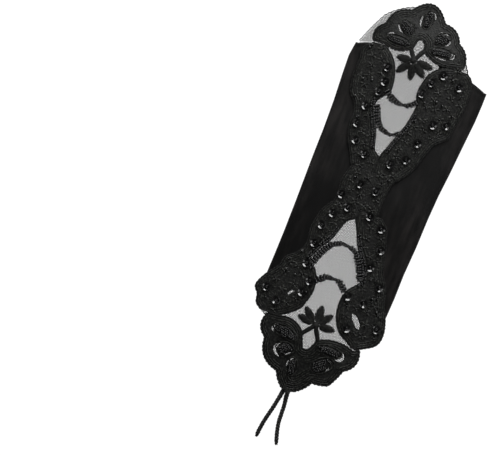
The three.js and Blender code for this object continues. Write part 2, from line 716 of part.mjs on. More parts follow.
// Garlands of beads hung in two arcs across the net. Each route keeps its few chosen points,
// and the last point of the left arc is where the right one begins.
const swags = {
  bead_swag_arm_outer: {
    left: { width: 5, points: [[-0.168, 0.687], [-0.118, 0.661], [-0.058, 0.648], [-0.008, 0.644]] },
    right: { width: 4.4, points: [[-0.008, 0.644], [0.045, 0.652], [0.078, 0.661], [0.1, 0.678]] },
  },
  bead_swag_arm_inner: {
    left: {
      width: 4.4,
      points: [[-0.203, 0.565], [-0.178, 0.512], [-0.143, 0.473], [-0.103, 0.446], [-0.01, 0.422]],
    },
    right: { width: 2.6, points: [[-0.01, 0.422], [0.015, 0.428], [0.034, 0.44]] },
  },
  bead_swag_hand_inner: {
    left: {
      width: 4.4,
      points: [[-0.285, -0.583], [-0.262, -0.535], [-0.195, -0.45], [-0.099, -0.41], [-0.05, -0.407]],
    },
    right: {
      width: 4.2,
      points: [[-0.05, -0.407], [0.001, -0.415], [0.055, -0.437], [0.13, -0.512], [0.176, -0.585]],
    },
  },
  bead_swag_hand_outer: {
    left: { width: 5.2, points: [[-0.185, -0.687], [-0.165, -0.673], [-0.105, -0.652], [-0.061, -0.653]] },
    right: { width: 4.6, points: [[-0.061, -0.653], [-0.025, -0.65], [0.04, -0.668], [0.068, -0.692]] },
  },
};

// A flattened tube along a curve that lies on the cloth, slimmer towards its ends and closed by a short cone
function swagArc({ width, points }) {
  const flat = points.map(([across, along]) => onSleeve(across, along));
  const lift = laceLow + swagHeight / 2 + swagLift;
  const onCloth = flat.map(({ x, y }) => new THREE.Vector3(x, y, frontTop(x, y) + lift));
  const route = new THREE.CatmullRomCurve3(onCloth);
  const rings = swagSteps + 2;
  const around = 2 * tubeSteps;
  const tube = (u, v, target) => {
    const ring = Math.round(v * rings);
    const t = THREE.MathUtils.clamp((ring - 1) / swagSteps, 0, 1);
    const tangent = route.getTangent(t);
    const aside = new THREE.Vector3(-tangent.y, tangent.x, 0).normalize();
    const closed = ring === 0 || ring === rings;
    const share = closed ? 0 : THREE.MathUtils.lerp(swagWaist, 1, Math.sin(Math.PI * t));
    const angle = 2 * Math.PI * u;
    target.copy(route.getPoint(t)).addScaledVector(aside, (width / 2) * share * Math.cos(angle));
    target.z += closed ? 0 : (swagHeight / 2) * Math.sin(angle);
    if (closed) target.addScaledVector(tangent, ring === 0 ? -swagEnd : swagEnd);
  };
  return solidOf(new ParametricGeometry(tube, around, rings));
}

for (const [name, { left, right }] of Object.entries(swags)) {
  addPiece(name, geometryOf(swagArc(left).add(swagArc(right))), jet);
}

// Cup sequins, row by row from the arm end
const sequinRows = {
  arm_left: [
    [-0.266, 0.857], [-0.24, 0.757], [-0.265, 0.68], [-0.336, 0.555], [-0.36, 0.422], [-0.313, 0.308],
    [-0.185, 0.238],
  ],
  arm_right: [
    [0.285, 0.934], [0.47, 0.893], [0.202, 0.858], [0.145, 0.765], [0.48, 0.616], [0.35, 0.586],
    [0.27, 0.432], [0.22, 0.297], [0.09, 0.23],
  ],
  middle: [[-0.12, 0.032], [0.047, 0.017], [-0.265, -0.077], [-0.16, -0.15]],
  hand_left: [
    [-0.28, -0.222], [-0.34, -0.325], [-0.35, -0.46], [-0.353, -0.61], [-0.263, -0.72], [-0.3, -0.81],
    [-0.65, -0.86], [-0.51, -0.925],
  ],
  hand_right: [
    [0.08, -0.158], [0.223, -0.213], [0.291, -0.355], [0.252, -0.488], [0.408, -0.6], [0.141, -0.729],
    [0.31, -0.741], [0.53, -0.882], [0.237, -0.942],
  ],
};

function sequinGeometry() {
  const radius = sequinDiameter / 2;
  const bead = sequinBeadDiameter / 2;
  const profile = [
    [0, 0], [sequinBase * radius, 0], [radius, sequinDepth], [bead + sequinBeadGap, sequinBase * sequinDepth],
    [bead, sequinDepth], [0, sequinBase * sequinDepth + bead],
  ];
  const geometry = new THREE.LatheGeometry(profile.map(([r, z]) => new THREE.Vector2(r, z)), sequinSteps);
  geometry.rotateX(Math.PI / 2);
  return geometryOf(solidOf(geometry));
}

for (const [row, places] of Object.entries(sequinRows)) {
  places.forEach(([across, along], i) => {
    const { x, y } = onSleeve(across, along);
    const sequin = addPiece(`sequin_${row}_${i + 1}`, sequinGeometry(), gloss);
    const slope = new THREE.Vector3(
      (frontTop(x - slopeStep, y) - frontTop(x + slopeStep, y)) / (2 * slopeStep),
      (frontTop(x, y - slopeStep) - frontTop(x, y + slopeStep)) / (2 * slopeStep),
      1,
    ).normalize();
    sequin.position.set(x, y, frontTop(x, y) + laceHigh).addScaledVector(slope, seatGap);
    sequin.quaternion.setFromUnitVectors(new THREE.Vector3(0, 0, 1), slope);
  });
}

// Cord tails. Each route keeps its chosen points, from the tip of the hand crest to the free end.
const cordRoutes = {
  cord_left: [
    [-8.9, -136, 1.75], [-9.6, -140.1, 1.75], [-10.7, -145.6, 1.75], [-12, -151.5, 1.75], [-13.5, -157.4, 1.75],
    [-14.5, -162.3, 1.75], [-15.2, -167.3, 1.75], [-15.5, -171.6, 1.75],
  ],
  cord_right: [
    [-6, -136, 4], [-5.8, -140.1, 2.9], [-5.1, -145.6, 1.9], [-4.9, -151.5, 1.75], [-4.7, -157.4, 1.75],
    [-3.9, -162.3, 1.75], [-2.5, -167.6, 1.75], [-1.1, -172.3, 1.75],
  ],
};

for (const [name, points] of Object.entries(cordRoutes)) {
  const route = new THREE.CatmullRomCurve3(points.map((point) => new THREE.Vector3(...point)));
  const section = new THREE.Shape();
  section.absarc(0, 0, cordDiameter / 2, 0, 2 * Math.PI, false);
  const tube = new THREE.ExtrudeGeometry(section, {
    extrudePath: route,
    steps: cordSteps,
    curveSegments: tubeSteps,
    bevelEnabled: false,
  });
  addPiece(name, geometryOf(solidOf(tube)), cord);
}

export default mitten;
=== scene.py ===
# Looks of the evening mitten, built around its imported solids. Metres, +Z up, arm end towards +Y.
import math
import random

import bmesh
import bpy
import numpy as np
from mathutils import Euler, Matrix, Vector, noise
from mathutils.kdtree import KDTree


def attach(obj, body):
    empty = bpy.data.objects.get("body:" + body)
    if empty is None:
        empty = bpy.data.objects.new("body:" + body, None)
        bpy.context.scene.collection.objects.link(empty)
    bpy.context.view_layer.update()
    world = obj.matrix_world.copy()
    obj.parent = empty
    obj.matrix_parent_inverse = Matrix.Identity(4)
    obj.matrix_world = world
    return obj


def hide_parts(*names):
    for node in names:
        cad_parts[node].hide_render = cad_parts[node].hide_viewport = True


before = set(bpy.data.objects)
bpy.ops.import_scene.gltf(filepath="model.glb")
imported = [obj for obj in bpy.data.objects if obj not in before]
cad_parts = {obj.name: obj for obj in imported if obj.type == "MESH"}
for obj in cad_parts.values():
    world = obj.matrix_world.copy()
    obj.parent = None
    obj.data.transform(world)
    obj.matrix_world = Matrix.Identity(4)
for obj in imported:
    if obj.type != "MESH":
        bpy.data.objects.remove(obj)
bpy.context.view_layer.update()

random.seed(21)
scene = bpy.context.scene
mm = 0.001

# sizes shared by all pieces, as in the solids
mitten = {
    "sleeveLength": 190 * mm, "sleeveWidth": 87 * mm, "sleeveHeight": 10 * mm, "hemHeight": 8.8 * mm,
    "foldRadius": 1.6 * mm, "laceWidth": 66 * mm, "laceThickness": 1 * mm, "seatGap": 0.35 * mm,
    "armCrest": 34.8 * mm, "handCrest": 46.2 * mm, "crestTipHeight": 2.7 * mm,
}
armHem = (mitten["sleeveLength"] + mitten["handCrest"] - mitten["armCrest"]) / 2
handHem = armHem - mitten["sleeveLength"]
middle = (armHem + handHem) / 2
halfLength = mitten["sleeveLength"] / 2
halfWidth = mitten["sleeveWidth"] / 2
laceTop = mitten["seatGap"] + mitten["laceThickness"]  # above the front cloth

# sides of the sleeve: along, left, right
sleeveSides = np.array([
    (-1, -1.0, 0.81), (-0.91, -1.05, 0.86), (-0.79, -1.06, 0.885), (-0.64, -1.045, 0.905),
    (-0.46, -1.03, 0.915), (-0.25, -1.02, 0.95), (-0.04, -1.015, 0.97), (0.14, -1.01, 1.0),
    (0.31, -1.0, 1.045), (0.52, -1.0, 1.09), (0.73, -1.015, 1.135), (0.88, -1.02, 1.15),
    (1, -0.985, 1.155),
])
# hem corners, left and right: how far they fall back, and how late towards the corner
hemCorners = {"arm": ((4.6 * mm, 5), (7.5 * mm, 2.6)), "hand": ((4 * mm, 2), (4 * mm, 2))}
# V cuts, apex first: along, left, right
armCut = [
    (0.238, -0.045, -0.045), (0.27, -0.115, -0.02), (0.33, -0.15, 0.02), (0.47, -0.225, 0.1),
    (0.65, -0.29, 0.18), (1.1, -0.36, 0.23),
]
handCut = [
    (-0.185, -0.06, -0.06), (-0.245, -0.155, 0), (-0.385, -0.25, 0.095), (-0.6, -0.385, 0.265),
    (-0.79, -0.43, 0.25), (-0.835, -0.46, 0.34), (-0.93, -0.47, 0.42), (-1.1, -0.48, 0.42),
]
# folds: along, across, reach, spread, turn, depth
folds = [
    (0.14, -0.7, 0.26, 0.18, 24, 0.08), (0.07, 0.66, 0.28, 0.18, -22, 0.08),
    (-0.3, 0.68, 0.24, 0.17, 30, 0.07), (-0.3, -0.76, 0.3, 0.16, -10, 0.07),
    (0.46, 0.88, 0.28, 0.16, 8, 0.06),
]


def smoothstep(x, low, high):
    t = np.clip((x - low) / (high - low), 0, 1)
    return t * t * (3 - 2 * t)


def sideAt(side, y):
    along = (np.asarray(y) - middle) / halfLength
    return halfWidth * np.interp(along, sleeveSides[:, 0], sleeveSides[:, 1 + side])


def hemDrop(end, share):  # how far a hem falls back at a share of half the width
    drop, power = hemCorners[end][0 if share < 0 else 1]
    return drop * min(1, abs(share)) ** power


def frontTop(x, y):  # top of the front cloth, which all that is sewn on it follows
    x, y = np.asarray(x, float), np.asarray(y, float)
    pastArm = smoothstep(y, armHem, armHem + mitten["armCrest"])
    pastHand = smoothstep(-y, -handHem, mitten["handCrest"] - handHem)
    past = np.maximum(pastArm, pastHand)
    share = np.minimum(np.abs(y - middle) / halfLength, 1)
    crown = mitten["sleeveHeight"] + (mitten["hemHeight"] - mitten["sleeveHeight"]) * share ** 2
    crown = crown + (mitten["crestTipHeight"] - crown) * past
    brink = 2 * mitten["foldRadius"]
    brink = brink + (mitten["crestTipHeight"] - brink) * past
    left = sideAt(0, y) + mitten["foldRadius"]
    right = sideAt(1, y) - mitten["foldRadius"]
    across = np.minimum(np.abs(x - (left + right) / 2) / ((right - left) / 2), 1)
    bulge = (1 - across ** 3) ** 2
    depth = 0
    for along, place, reach, spread, turn, deep in folds:
        angle = math.radians(turn)
        dx, dy = x - place * halfWidth, y - middle - along * halfLength
        lengthwise = (dy * math.cos(angle) + dx * math.sin(angle)) / (reach * halfLength)
        sideways = (dx * math.cos(angle) - dy * math.sin(angle)) / (spread * halfWidth)
        depth = depth + deep * mitten["sleeveHeight"] * np.exp(-lengthwise ** 2 - sideways ** 2)
    return brink + (crown - brink) * bulge - depth * bulge ** 0.5


def onSleeve(across, along):
    return Vector((across * mitten["laceWidth"], middle + along * halfLength))


def onArmCrest(across, out):
    return Vector((across * mitten["laceWidth"], armHem + out * mitten["armCrest"]))


def onHandCrest(across, out):
    return Vector((across * mitten["laceWidth"], handHem - out * mitten["handCrest"]))


# camera: straight above, turned as the mitten lies in the photograph
photo = {
    "width": 488, "height": 456, "size": 0.66 * mm, "turn": 20.03, "centre": (-70.2 * mm, -44.8 * mm),
    "distance": 2.4, "level": 5.5 * mm,
}
cameraData = bpy.data.cameras.new("photoCamera")
cameraData.sensor_width = 36
cameraData.lens = 36 * photo["distance"] / (photo["width"] * photo["size"])
camera = bpy.data.objects.new("photoCamera", cameraData)
scene.collection.objects.link(camera)
camera.location = (*photo["centre"], photo["distance"] + photo["level"])
camera.rotation_euler = (0, 0, math.radians(photo["turn"]))
scene.camera = camera
scene.view_settings.view_transform = "Standard"
print("camera placed")


def onPhoto(x, y):  # the place on the mitten of a pixel of the photograph
    turned = Matrix.Rotation(math.radians(photo["turn"]), 2)
    fromCentre = Vector((x - photo["width"] / 2, photo["height"] / 2 - y)) * photo["size"]
    return Vector(photo["centre"]) + turned @ fromCentre


# materials
def newMaterial(name, base, roughness, **sockets):
    material = bpy.data.materials.new(name)
    material.use_nodes = True
    shader = material.node_tree.nodes["Principled BSDF"]
    shader.inputs["Base Color"].default_value = (*base, 1)
    shader.inputs["Roughness"].default_value = roughness
    for socket, value in sockets.items():
        shader.inputs[socket].default_value = value
    return material, material.node_tree, shader


def newGroup(name, inputs, outputs):
    group = bpy.data.node_groups.new(name, "ShaderNodeTree")
    for socket, kind, value in inputs:
        made = group.interface.new_socket(socket, in_out="INPUT", socket_type=kind)
        if value is not None:
            made.default_value = value
    for socket, kind in outputs:
        group.interface.new_socket(socket, in_out="OUTPUT", socket_type=kind)
    return group, group.nodes.new("NodeGroupInput"), group.nodes.new("NodeGroupOutput")


def mathNode(tree, operation, a, b=None, clamp=False):
    node = tree.nodes.new("ShaderNodeMath")
    node.operation = operation
    node.use_clamp = clamp
    for socket, value in zip(node.inputs, (a, b)):
        if isinstance(value, bpy.types.NodeSocket):
            tree.links.new(value, socket)
        elif value is not None:
            socket.default_value = value
    return node.outputs[0]


def noiseNode(tree, vector, scale, detail=3, stretch=None):
    if stretch:
        mapping = tree.nodes.new("ShaderNodeMapping")
        mapping.inputs["Scale"].default_value = stretch
        tree.links.new(vector, mapping.inputs["Vector"])
        vector = mapping.outputs["Vector"]
    node = tree.nodes.new("ShaderNodeTexNoise")
    tree.links.new(vector, node.inputs["Vector"])
    if isinstance(scale, bpy.types.NodeSocket):
        tree.links.new(scale, node.inputs["Scale"])
    else:
        node.inputs["Scale"].default_value = scale
    node.inputs["Detail"].default_value = detail
    return node.outputs["Fac"]


# thread grain: fine fibres and a slower change of tone
threadGrain, grainIn, grainOut = newGroup(
    "threadGrain",
    [("Vector", "NodeSocketVector", None), ("Scale", "NodeSocketFloat", 900.0)],
    [("Height", "NodeSocketFloat"), ("Tone", "NodeSocketFloat")],
)
fibres = noiseNode(threadGrain, grainIn.outputs["Vector"], grainIn.outputs["Scale"], 4)
drift = noiseNode(threadGrain, grainIn.outputs["Vector"], 70, 3)
threadGrain.links.new(fibres, grainOut.inputs["Height"])
threadGrain.links.new(mathNode(threadGrain, "MULTIPLY", fibres, drift), grainOut.inputs["Tone"])

# cloth weave: fine crossing ribs, with ribs one way stronger
clothWeave, weaveIn, weaveOut = newGroup(
    "clothWeave",
    [("Vector", "NodeSocketVector", None), ("Scale", "NodeSocketFloat", 1500.0)],
    [("Height", "NodeSocketFloat"), ("Tone", "NodeSocketFloat")],
)
ribs = []
for direction, distortion in (("X", 1.5), ("Y", 0.8)):
    wave = clothWeave.nodes.new("ShaderNodeTexWave")
    wave.bands_direction = direction
    wave.inputs["Distortion"].default_value = distortion
    wave.inputs["Detail"].default_value = 1
    clothWeave.links.new(weaveIn.outputs["Vector"], wave.inputs["Vector"])
    clothWeave.links.new(weaveIn.outputs["Scale"], wave.inputs["Scale"])
    ribs.append(wave.outputs["Fac"])
crossing = mathNode(clothWeave, "MULTIPLY_ADD", ribs[0], 0.6)
clothWeave.links.new(ribs[1], crossing.node.inputs[2])
clothWeave.links.new(crossing, weaveOut.inputs["Height"])
slubs = noiseNode(clothWeave, weaveIn.outputs["Vector"], 260, 5, (1, 0.2, 1))
clothWeave.links.new(slubs, weaveOut.inputs["Tone"])


def placeGroup(tree, group, scale):
    node = tree.nodes.new("ShaderNodeGroup")
    node.node_tree = group
    coordinates = tree.nodes.new("ShaderNodeTexCoord")
    tree.links.new(coordinates.outputs["Object"], node.inputs["Vector"])
    node.inputs["Scale"].default_value = scale
    return node


def toneBetween(tree, factor, dark, light, target, low=0.0, high=1.0):
    ramp = tree.nodes.new("ShaderNodeValToRGB")
    ramp.color_ramp.elements[0].position = low
    ramp.color_ramp.elements[0].color = (*dark, 1)
    ramp.color_ramp.elements[1].position = high
    ramp.color_ramp.elements[1].color = (*light, 1)
    tree.links.new(factor, ramp.inputs["Fac"])
    tree.links.new(ramp.outputs["Color"], target)


def bumpFrom(tree, height, strength, distance, shader, under=None):
    bump = tree.nodes.new("ShaderNodeBump")
    bump.inputs["Strength"].default_value = strength
    bump.inputs["Distance"].default_value = distance
    tree.links.new(height, bump.inputs["Height"])
    if under:
        tree.links.new(under, bump.inputs["Normal"])
    if shader:
        tree.links.new(bump.outputs["Normal"], shader.inputs["Normal"])
    return bump.outputs["Normal"]


def makeSatin():
    # the satin's light colour is painted sheen; its dark colour is the cloth's own black
    satin = {"dark": (0.0012, 0.0011, 0.0011), "light": (0.012, 0.0105, 0.0101), "roughness": 0.5}
    material, tree, shader = newMaterial(
        "satin", satin["dark"], satin["roughness"],
        **{"Specular IOR Level": 0.17, "Anisotropic": 0.4},
    )
    weave = placeGroup(tree, clothWeave, 900)
    coordinates = tree.nodes.new("ShaderNodeTexCoord").outputs["Object"]
    # painted sheen: broad noise patches stretched along the sleeve, times the weave's real slub tone, lighten the
    # satin towards its sheen colour
    sheenPatches = noiseNode(tree, coordinates, 26, 2, (1, 0.4, 1))
    slubsAndSheen = mathNode(tree, "MULTIPLY", weave.outputs["Tone"], sheenPatches)
    toneBetween(tree, slubsAndSheen, satin["dark"], satin["light"], shader.inputs["Base Color"], 0.2, 0.42)
    creases = noiseNode(tree, coordinates, 90, 4, (1, 0.55, 1))
    soft = bumpFrom(tree, creases, 0.5, 0.6 * mm, None)
    bumpFrom(tree, weave.outputs["Height"], 0.25, 0.05 * mm, shader, soft)
    spread = mathNode(tree, "MULTIPLY_ADD", weave.outputs["Tone"], 0.22)
    spread.node.inputs[2].default_value = satin["roughness"] - 0.1
    tree.links.new(spread, shader.inputs["Roughness"])
    return material


def makeThread(name, dark, light, roughness, scale=1300, mottle=None):
    material, tree, shader = newMaterial(name, dark, roughness, **{"Specular IOR Level": 0.25})
    grain = placeGroup(tree, threadGrain, scale)
    if mottle:
        coordinates = tree.nodes.new("ShaderNodeTexCoord").outputs["Object"]
        blotches = noiseNode(tree, coordinates, mottle, 3)
        toneBetween(tree, blotches, dark, light, shader.inputs["Base Color"], 0.45, 0.62)
        lumps = bumpFrom(tree, blotches, 0.8, 0.5 * mm, None)
        bumpFrom(tree, grain.outputs["Height"], 0.5, 0.12 * mm, shader, lumps)
    else:
        toneBetween(tree, grain.outputs["Tone"], dark, light, shader.inputs["Base Color"], 0.12, 0.42)
        bumpFrom(tree, grain.outputs["Height"], 0.5, 0.12 * mm, shader)
    return material


def makeGlass(name, colour, roughness, coat):
    material, tree, shader = newMaterial(
        name, colour, roughness,
        **{"Specular IOR Level": 0.4, "Coat Weight": coat, "Coat Roughness": 0.1},
    )
    grain = placeGroup(tree, threadGrain, 500)
    lighter = tuple(3 * c for c in colour)
    toneBetween(tree, grain.outputs["Tone"], colour, lighter, shader.inputs["Base Color"], 0.2, 0.5)
    scuffs = mathNode(tree, "MULTIPLY_ADD", grain.outputs["Height"], 0.16)
    scuffs.node.inputs[2].default_value = roughness
    tree.links.new(scuffs, shader.inputs["Roughness"])
    return material


satinCloth = makeSatin()
netThread = makeThread("netThread", (0.012, 0.012, 0.0115), (0.03, 0.03, 0.028), 0.7)
# lace ground and lace threads are the same black thread: the ground's darker tone is painted shade between the raised
# cords, and the threads' lighter tone is painted light on them; their blotches are random tone
laceGround = makeThread("laceGround", (0.0009, 0.001, 0.0009), (0.013, 0.0136, 0.012), 0.6, 1300, 900)
laceThread = makeThread("laceThread", (0.0018, 0.0019, 0.0016), (0.034, 0.0355, 0.031), 0.5, 1300, 700)
cordThread = makeThread("cordThread", (0.003, 0.003, 0.003), (0.012, 0.012, 0.0115), 0.55)
beadGlass = makeGlass("beadGlass", (0.0015, 0.0015, 0.0015), 0.14, 0.5)
sequinGloss = makeGlass("sequinGloss", (0.003, 0.003, 0.003), 0.14, 1.0)
print("materials made")


# helpers that make, drape and hand over pieces
def newObject(name, mesh, *materials):
    obj = bpy.data.objects.new(name, mesh)
    scene.collection.objects.link(obj)
    for material in materials:
        if material.name not in mesh.materials:
            mesh.materials.append(material)
    return obj


def meshOf(obj):  # the mesh after its modifiers, and the object goes
    bpy.context.view_layer.update()
    mesh = bpy.data.meshes.new_from_object(obj.evaluated_get(bpy.context.evaluated_depsgraph_get()))
    bpy.data.objects.remove(obj)
    return mesh


def meshFrom(bm, name, smooth=True):
    mesh = bpy.data.meshes.new(name)
    for face in bm.faces:
        face.smooth = smooth
    bm.to_mesh(mesh)
    bm.free()
    return mesh


def joinedMesh(name, *layers):  # each layer of meshes takes the material of its place in the row
    bm = bmesh.new()
    for index, meshes in enumerate(layers):
        for mesh in meshes:
            start = len(bm.faces)
            bm.from_mesh(mesh)
            bm.faces.ensure_lookup_table()
            for face in bm.faces[start:]:
                face.material_index = index
    whole = bpy.data.meshes.new(name)
    bm.to_mesh(whole)
    bm.free()
    return whole


def drape(verts, lift=0.0, height=frontTop):  # raises flat work onto the front cloth
    verts = list(verts)
    tops = height(np.array([v.co.x for v in verts]), np.array([v.co.y for v in verts]))
    for v, top in zip(verts, np.atleast_1d(tops)):
        v.co.z += float(top) + lift


def hand(obj, nodes=()):  # rides on the mitten, in place of its solids
    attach(obj, "root")
    if nodes:
        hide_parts(*nodes)
    return obj


# lines in the plan
def arcPoints(a, b, bulge, step=0.7 * mm):
    chord = b - a
    control = (a + b) / 2 + Vector((-chord.y, chord.x)) * 2 * bulge
    count = max(2, math.ceil(chord.length * (1 + 2 * abs(bulge)) / step))
    steps = (i / count for i in range(count))
    return [(1 - t) ** 2 * a + 2 * t * (1 - t) * control + t * t * b for t in steps]


def arcLoop(rows, place, side=1):
    loop = []
    for i, (across, out, bulge) in enumerate(rows):
        following = rows[(i + 1) % len(rows)]
        loop += arcPoints(place(across, out), place(following[0], following[1]), side * bulge)
    return loop


def smoothLine(points, step=0.7 * mm):  # a spline through the points, evenly stepped
    points = [Vector(p) for p in points]
    ends = [2 * points[0] - points[1]] + points + [2 * points[-1] - points[-2]]
    line = []
    for a, b, c, d in zip(ends, ends[1:], ends[2:], ends[3:]):
        count = max(2, math.ceil((c - b).length / step))
        for t in (i / count for i in range(count)):
            bend, twist = 2 * a - 5 * b + 4 * c - d, 3 * b - a - 3 * c + d
            line.append(0.5 * (2 * b + (c - a) * t + bend * t * t + twist * t ** 3))
    return line + [points[-1]]


def insideLoop(points, loop):  # even-odd test for many points at once
    xs, ys = np.array([p[0] for p in points]), np.array([p[1] for p in points])
    inside = np.zeros(len(xs), bool)
    for a, b in zip(loop, loop[1:] + loop[:1]):
        crosses = (a.y > ys) != (b.y > ys)
        if crosses.any():
            inside ^= crosses & (xs < (b.x - a.x) * (ys - a.y) / (b.y - a.y + 1e-12) + a.x)
    return inside


def loopArea(loop):
    return sum(a.x * b.y - b.x * a.y for a, b in zip(loop, loop[1:] + loop[:1])) / 2


def treeOf(points):
    tree = KDTree(len(points))
    for i, p in enumerate(points):
        tree.insert((p[0], p[1], 0), i)
    tree.balance()
    return tree


# the loop moved inwards, in chains that stay clear of all edges
def rowsInside(loop, distance, edges, keep=0.92):
    count = len(loop)
    turn = 1 if loopArea(loop) > 0 else -1
    chains, chain = [], []
    moved = []
    for i in range(count):
        along = (loop[(i + 1) % count] - loop[i - 1]).normalized()
        moved.append(loop[i] + turn * distance * Vector((-along.y, along.x)))
    inside = insideLoop(moved, loop)
    for p, fits in zip(moved, inside):
        if fits and edges.find((p.x, p.y, 0))[2] > keep * distance:
            chain.append(p)
        elif chain:
            chains.append(chain)
            chain = []
    if chain:
        if chains and len(chains[0]) and (chains[0][0] - chain[-1]).length < 2 * mm:
            chains[0] = chain + chains[0]
        else:
            chains.append(chain)
    return [c for c in chains if len(c) > 3]


def tubeMesh(name, paths, radius, sides=2, shape=None):
    curve = bpy.data.curves.new(name, "CURVE")
    curve.dimensions = "3D"
    curve.bevel_depth = radius
    curve.bevel_resolution = sides
    curve.use_fill_caps = True
    for path in paths:
        spline = curve.splines.new("POLY")
        spline.points.add(len(path) - 1)
        spline.points.foreach_set("co", [c for p in path for c in (p[0], p[1], p[2], 1)])
        last = len(path) - 1
        if shape == "taper":
            sizes = [0.35 + 0.65 * abs(math.sin(math.pi * i / last)) ** 0.5 for i in range(last + 1)]
            spline.points.foreach_set("radius", sizes)
        elif shape == "knots":
            sizes = [
                random.uniform(0.85, 1.1) if i % 2 else random.uniform(0.5, 0.7) for i in range(last + 1)
            ]
            spline.points.foreach_set("radius", sizes)
        elif shape == "frayed":
            sizes = [
                (1 + 0.25 * max(0, 1 - 4 * i / last)) * min(1, 0.3 + 10 * (last - i) / last)
                * random.uniform(0.88, 1.05)
                for i in range(last + 1)
            ]
            spline.points.foreach_set("radius", sizes)
    obj = bpy.data.objects.new(name, curve)
    scene.collection.objects.link(obj)
    mesh = meshOf(obj)
    mesh.shade_smooth()
    return mesh


def lifted(path, lift):  # a plan line laid on the front cloth
    tops = np.atleast_1d(frontTop([p[0] for p in path], [p[1] for p in path]))
    return [Vector((p[0], p[1], float(top) + lift)) for p, top in zip(path, tops)]


def twisted(path, radius, pitch, strands=2):  # strands wound round a laid line
    lengths = [0.0]
    for a, b in zip(path, path[1:]):
        lengths.append(lengths[-1] + (b - a).length)
    steps = max(8, int(lengths[-1] / (pitch / 7)))
    wound = [[] for _ in range(strands)]
    at = 0
    for i in range(steps + 1):
        s = lengths[-1] * i / steps
        while at < len(lengths) - 2 and lengths[at + 1] < s:
            at += 1
        a, b = path[at], path[at + 1]
        t = (s - lengths[at]) / max(lengths[at + 1] - lengths[at], 1e-9)
        point = a.lerp(b, min(t, 1))
        along = (b - a).normalized()
        side = along.cross(Vector((0, 0, 1))).normalized()
        up = side.cross(along)
        for k, strand in enumerate(wound):
            angle = 2 * math.pi * (s / pitch + k / strands)
            strand.append(point + radius * (math.cos(angle) * side + math.sin(angle) * up))
    return wound


def copiesAt(name, source, spots, *materials):  # copies of one small object, joined in one mesh
    mesh = bpy.data.meshes.new(name)
    mesh.from_pydata([s[0] for s in spots], [], [])
    for attribute, index in (("turn", 1), ("size", 2)):
        layer = mesh.attributes.new(attribute, "FLOAT_VECTOR", "POINT")
        layer.data.foreach_set("vector", [c for s in spots for c in s[index]])
    tree = bpy.data.node_groups.new(name, "GeometryNodeTree")
    tree.interface.new_socket("Geometry", in_out="INPUT", socket_type="NodeSocketGeometry")
    tree.interface.new_socket("Geometry", in_out="OUTPUT", socket_type="NodeSocketGeometry")
    new, link = tree.nodes.new, tree.links.new
    start, end, copies, realize = (
        new("NodeGroupInput"), new("NodeGroupOutput"),
        new("GeometryNodeInstanceOnPoints"), new("GeometryNodeRealizeInstances"),
    )
    info = new("GeometryNodeObjectInfo")
    info.inputs["Object"].default_value = source
    link(start.outputs[0], copies.inputs["Points"])
    link(info.outputs["Geometry"], copies.inputs["Instance"])
    for attribute, socket in (("turn", "Rotation"), ("size", "Scale")):
        read = new("GeometryNodeInputNamedAttribute")
        read.data_type = "FLOAT_VECTOR"
        read.inputs["Name"].default_value = attribute
        value = read.outputs["Attribute"]
        if socket == "Rotation":
            euler = new("FunctionNodeEulerToRotation")
            link(value, euler.inputs[0])
            value = euler.outputs[0]
        link(value, copies.inputs[socket])
    link(copies.outputs["Instances"], realize.inputs["Geometry"])
    link(realize.outputs["Geometry"], end.inputs[0])
    obj = newObject(name, mesh)
    modifier = obj.modifiers.new("copies", "NODES")
    modifier.node_group = tree
    made = meshOf(obj)
    made.name = name
    made.materials.clear()
    for material in materials:
        made.materials.append(material)
    return made


def slopeAt(x, y):
    step = 1 * mm
    h = frontTop([x - step, x + step, x, x], [y, y, y - step, y + step])
    return Vector((float(h[0] - h[1]), float(h[2] - h[3]), 2 * step)).normalized()


def turnTo(direction, spin=0.0):
    return (direction.to_track_quat("Z", "Y").to_matrix() @ Matrix.Rotation(spin, 3, "Z")).to_euler()


# cord tails
cordWork = {"diameter": 3.4 * mm, "pitch": 6 * mm, "strands": 3}
cordRoutes = {
    "cord_left": [
        (-8.9, -136, 1.75), (-9.6, -140.1, 1.75), (-10.7, -145.6, 1.75), (-12, -151.5, 1.75),
        (-13.5, -157.4, 1.75), (-14.5, -162.3, 1.75), (-15.2, -167.3, 1.75), (-15.5, -171.6, 1.75),
    ],
    "cord_right": [
        (-6, -136, 4), (-5.8, -140.1, 2.9), (-5.1, -145.6, 1.9), (-4.9, -151.5, 1.75),
        (-4.7, -157.4, 1.75), (-3.9, -162.3, 1.75), (-2.5, -167.6, 1.75), (-1.1, -172.3, 1.75),
    ],
}


def makeCord(node, points):
    route = smoothLine([Vector(p) * mm for p in points], 0.4 * mm)
    radius = cordWork["diameter"] / 2
    strands = twisted(route, radius * 0.4, cordWork["pitch"], cordWork["strands"])
    name = "cordLeft" if node == "cord_left" else "cordRight"
    obj = newObject(name, tubeMesh(name, strands, radius * 0.53, 3, shape="frayed"), cordThread)
    hand(obj, [node])


for node, points in cordRoutes.items():
    makeCord(node, points)
print("cords made")


# satin sleeve: a tube grown from one grid, whose columns follow the V cuts
def cutEdges(y):
    along = (y - middle) / halfLength
    rows = armCut if along > 0 else handCut
    alongs = [abs(r[0]) for r in rows]
    least = 0.9 * mm
    left = np.interp(abs(along), alongs, [r[1] for r in rows]) * mitten["laceWidth"]
    right = np.interp(abs(along), alongs, [r[2] for r in rows]) * mitten["laceWidth"]
    centre = (left + right) / 2
    half = max((right - left) / 2, least)
    return centre - half, centre + half


def inCut(y):
    along = (y - middle) / halfLength
    return along > armCut[0][0] or along < handCut[0][0]


satinSleeve = {
    "rows": 150, "side": 30, "cut": 2, "fold": 7, "bottom": 12, "wall": 0.9 * mm, "pucker": 0.42 * mm,
    "cutSize": (178.5 * mm, 190 * mm), "cutArea": 0.02399,
}


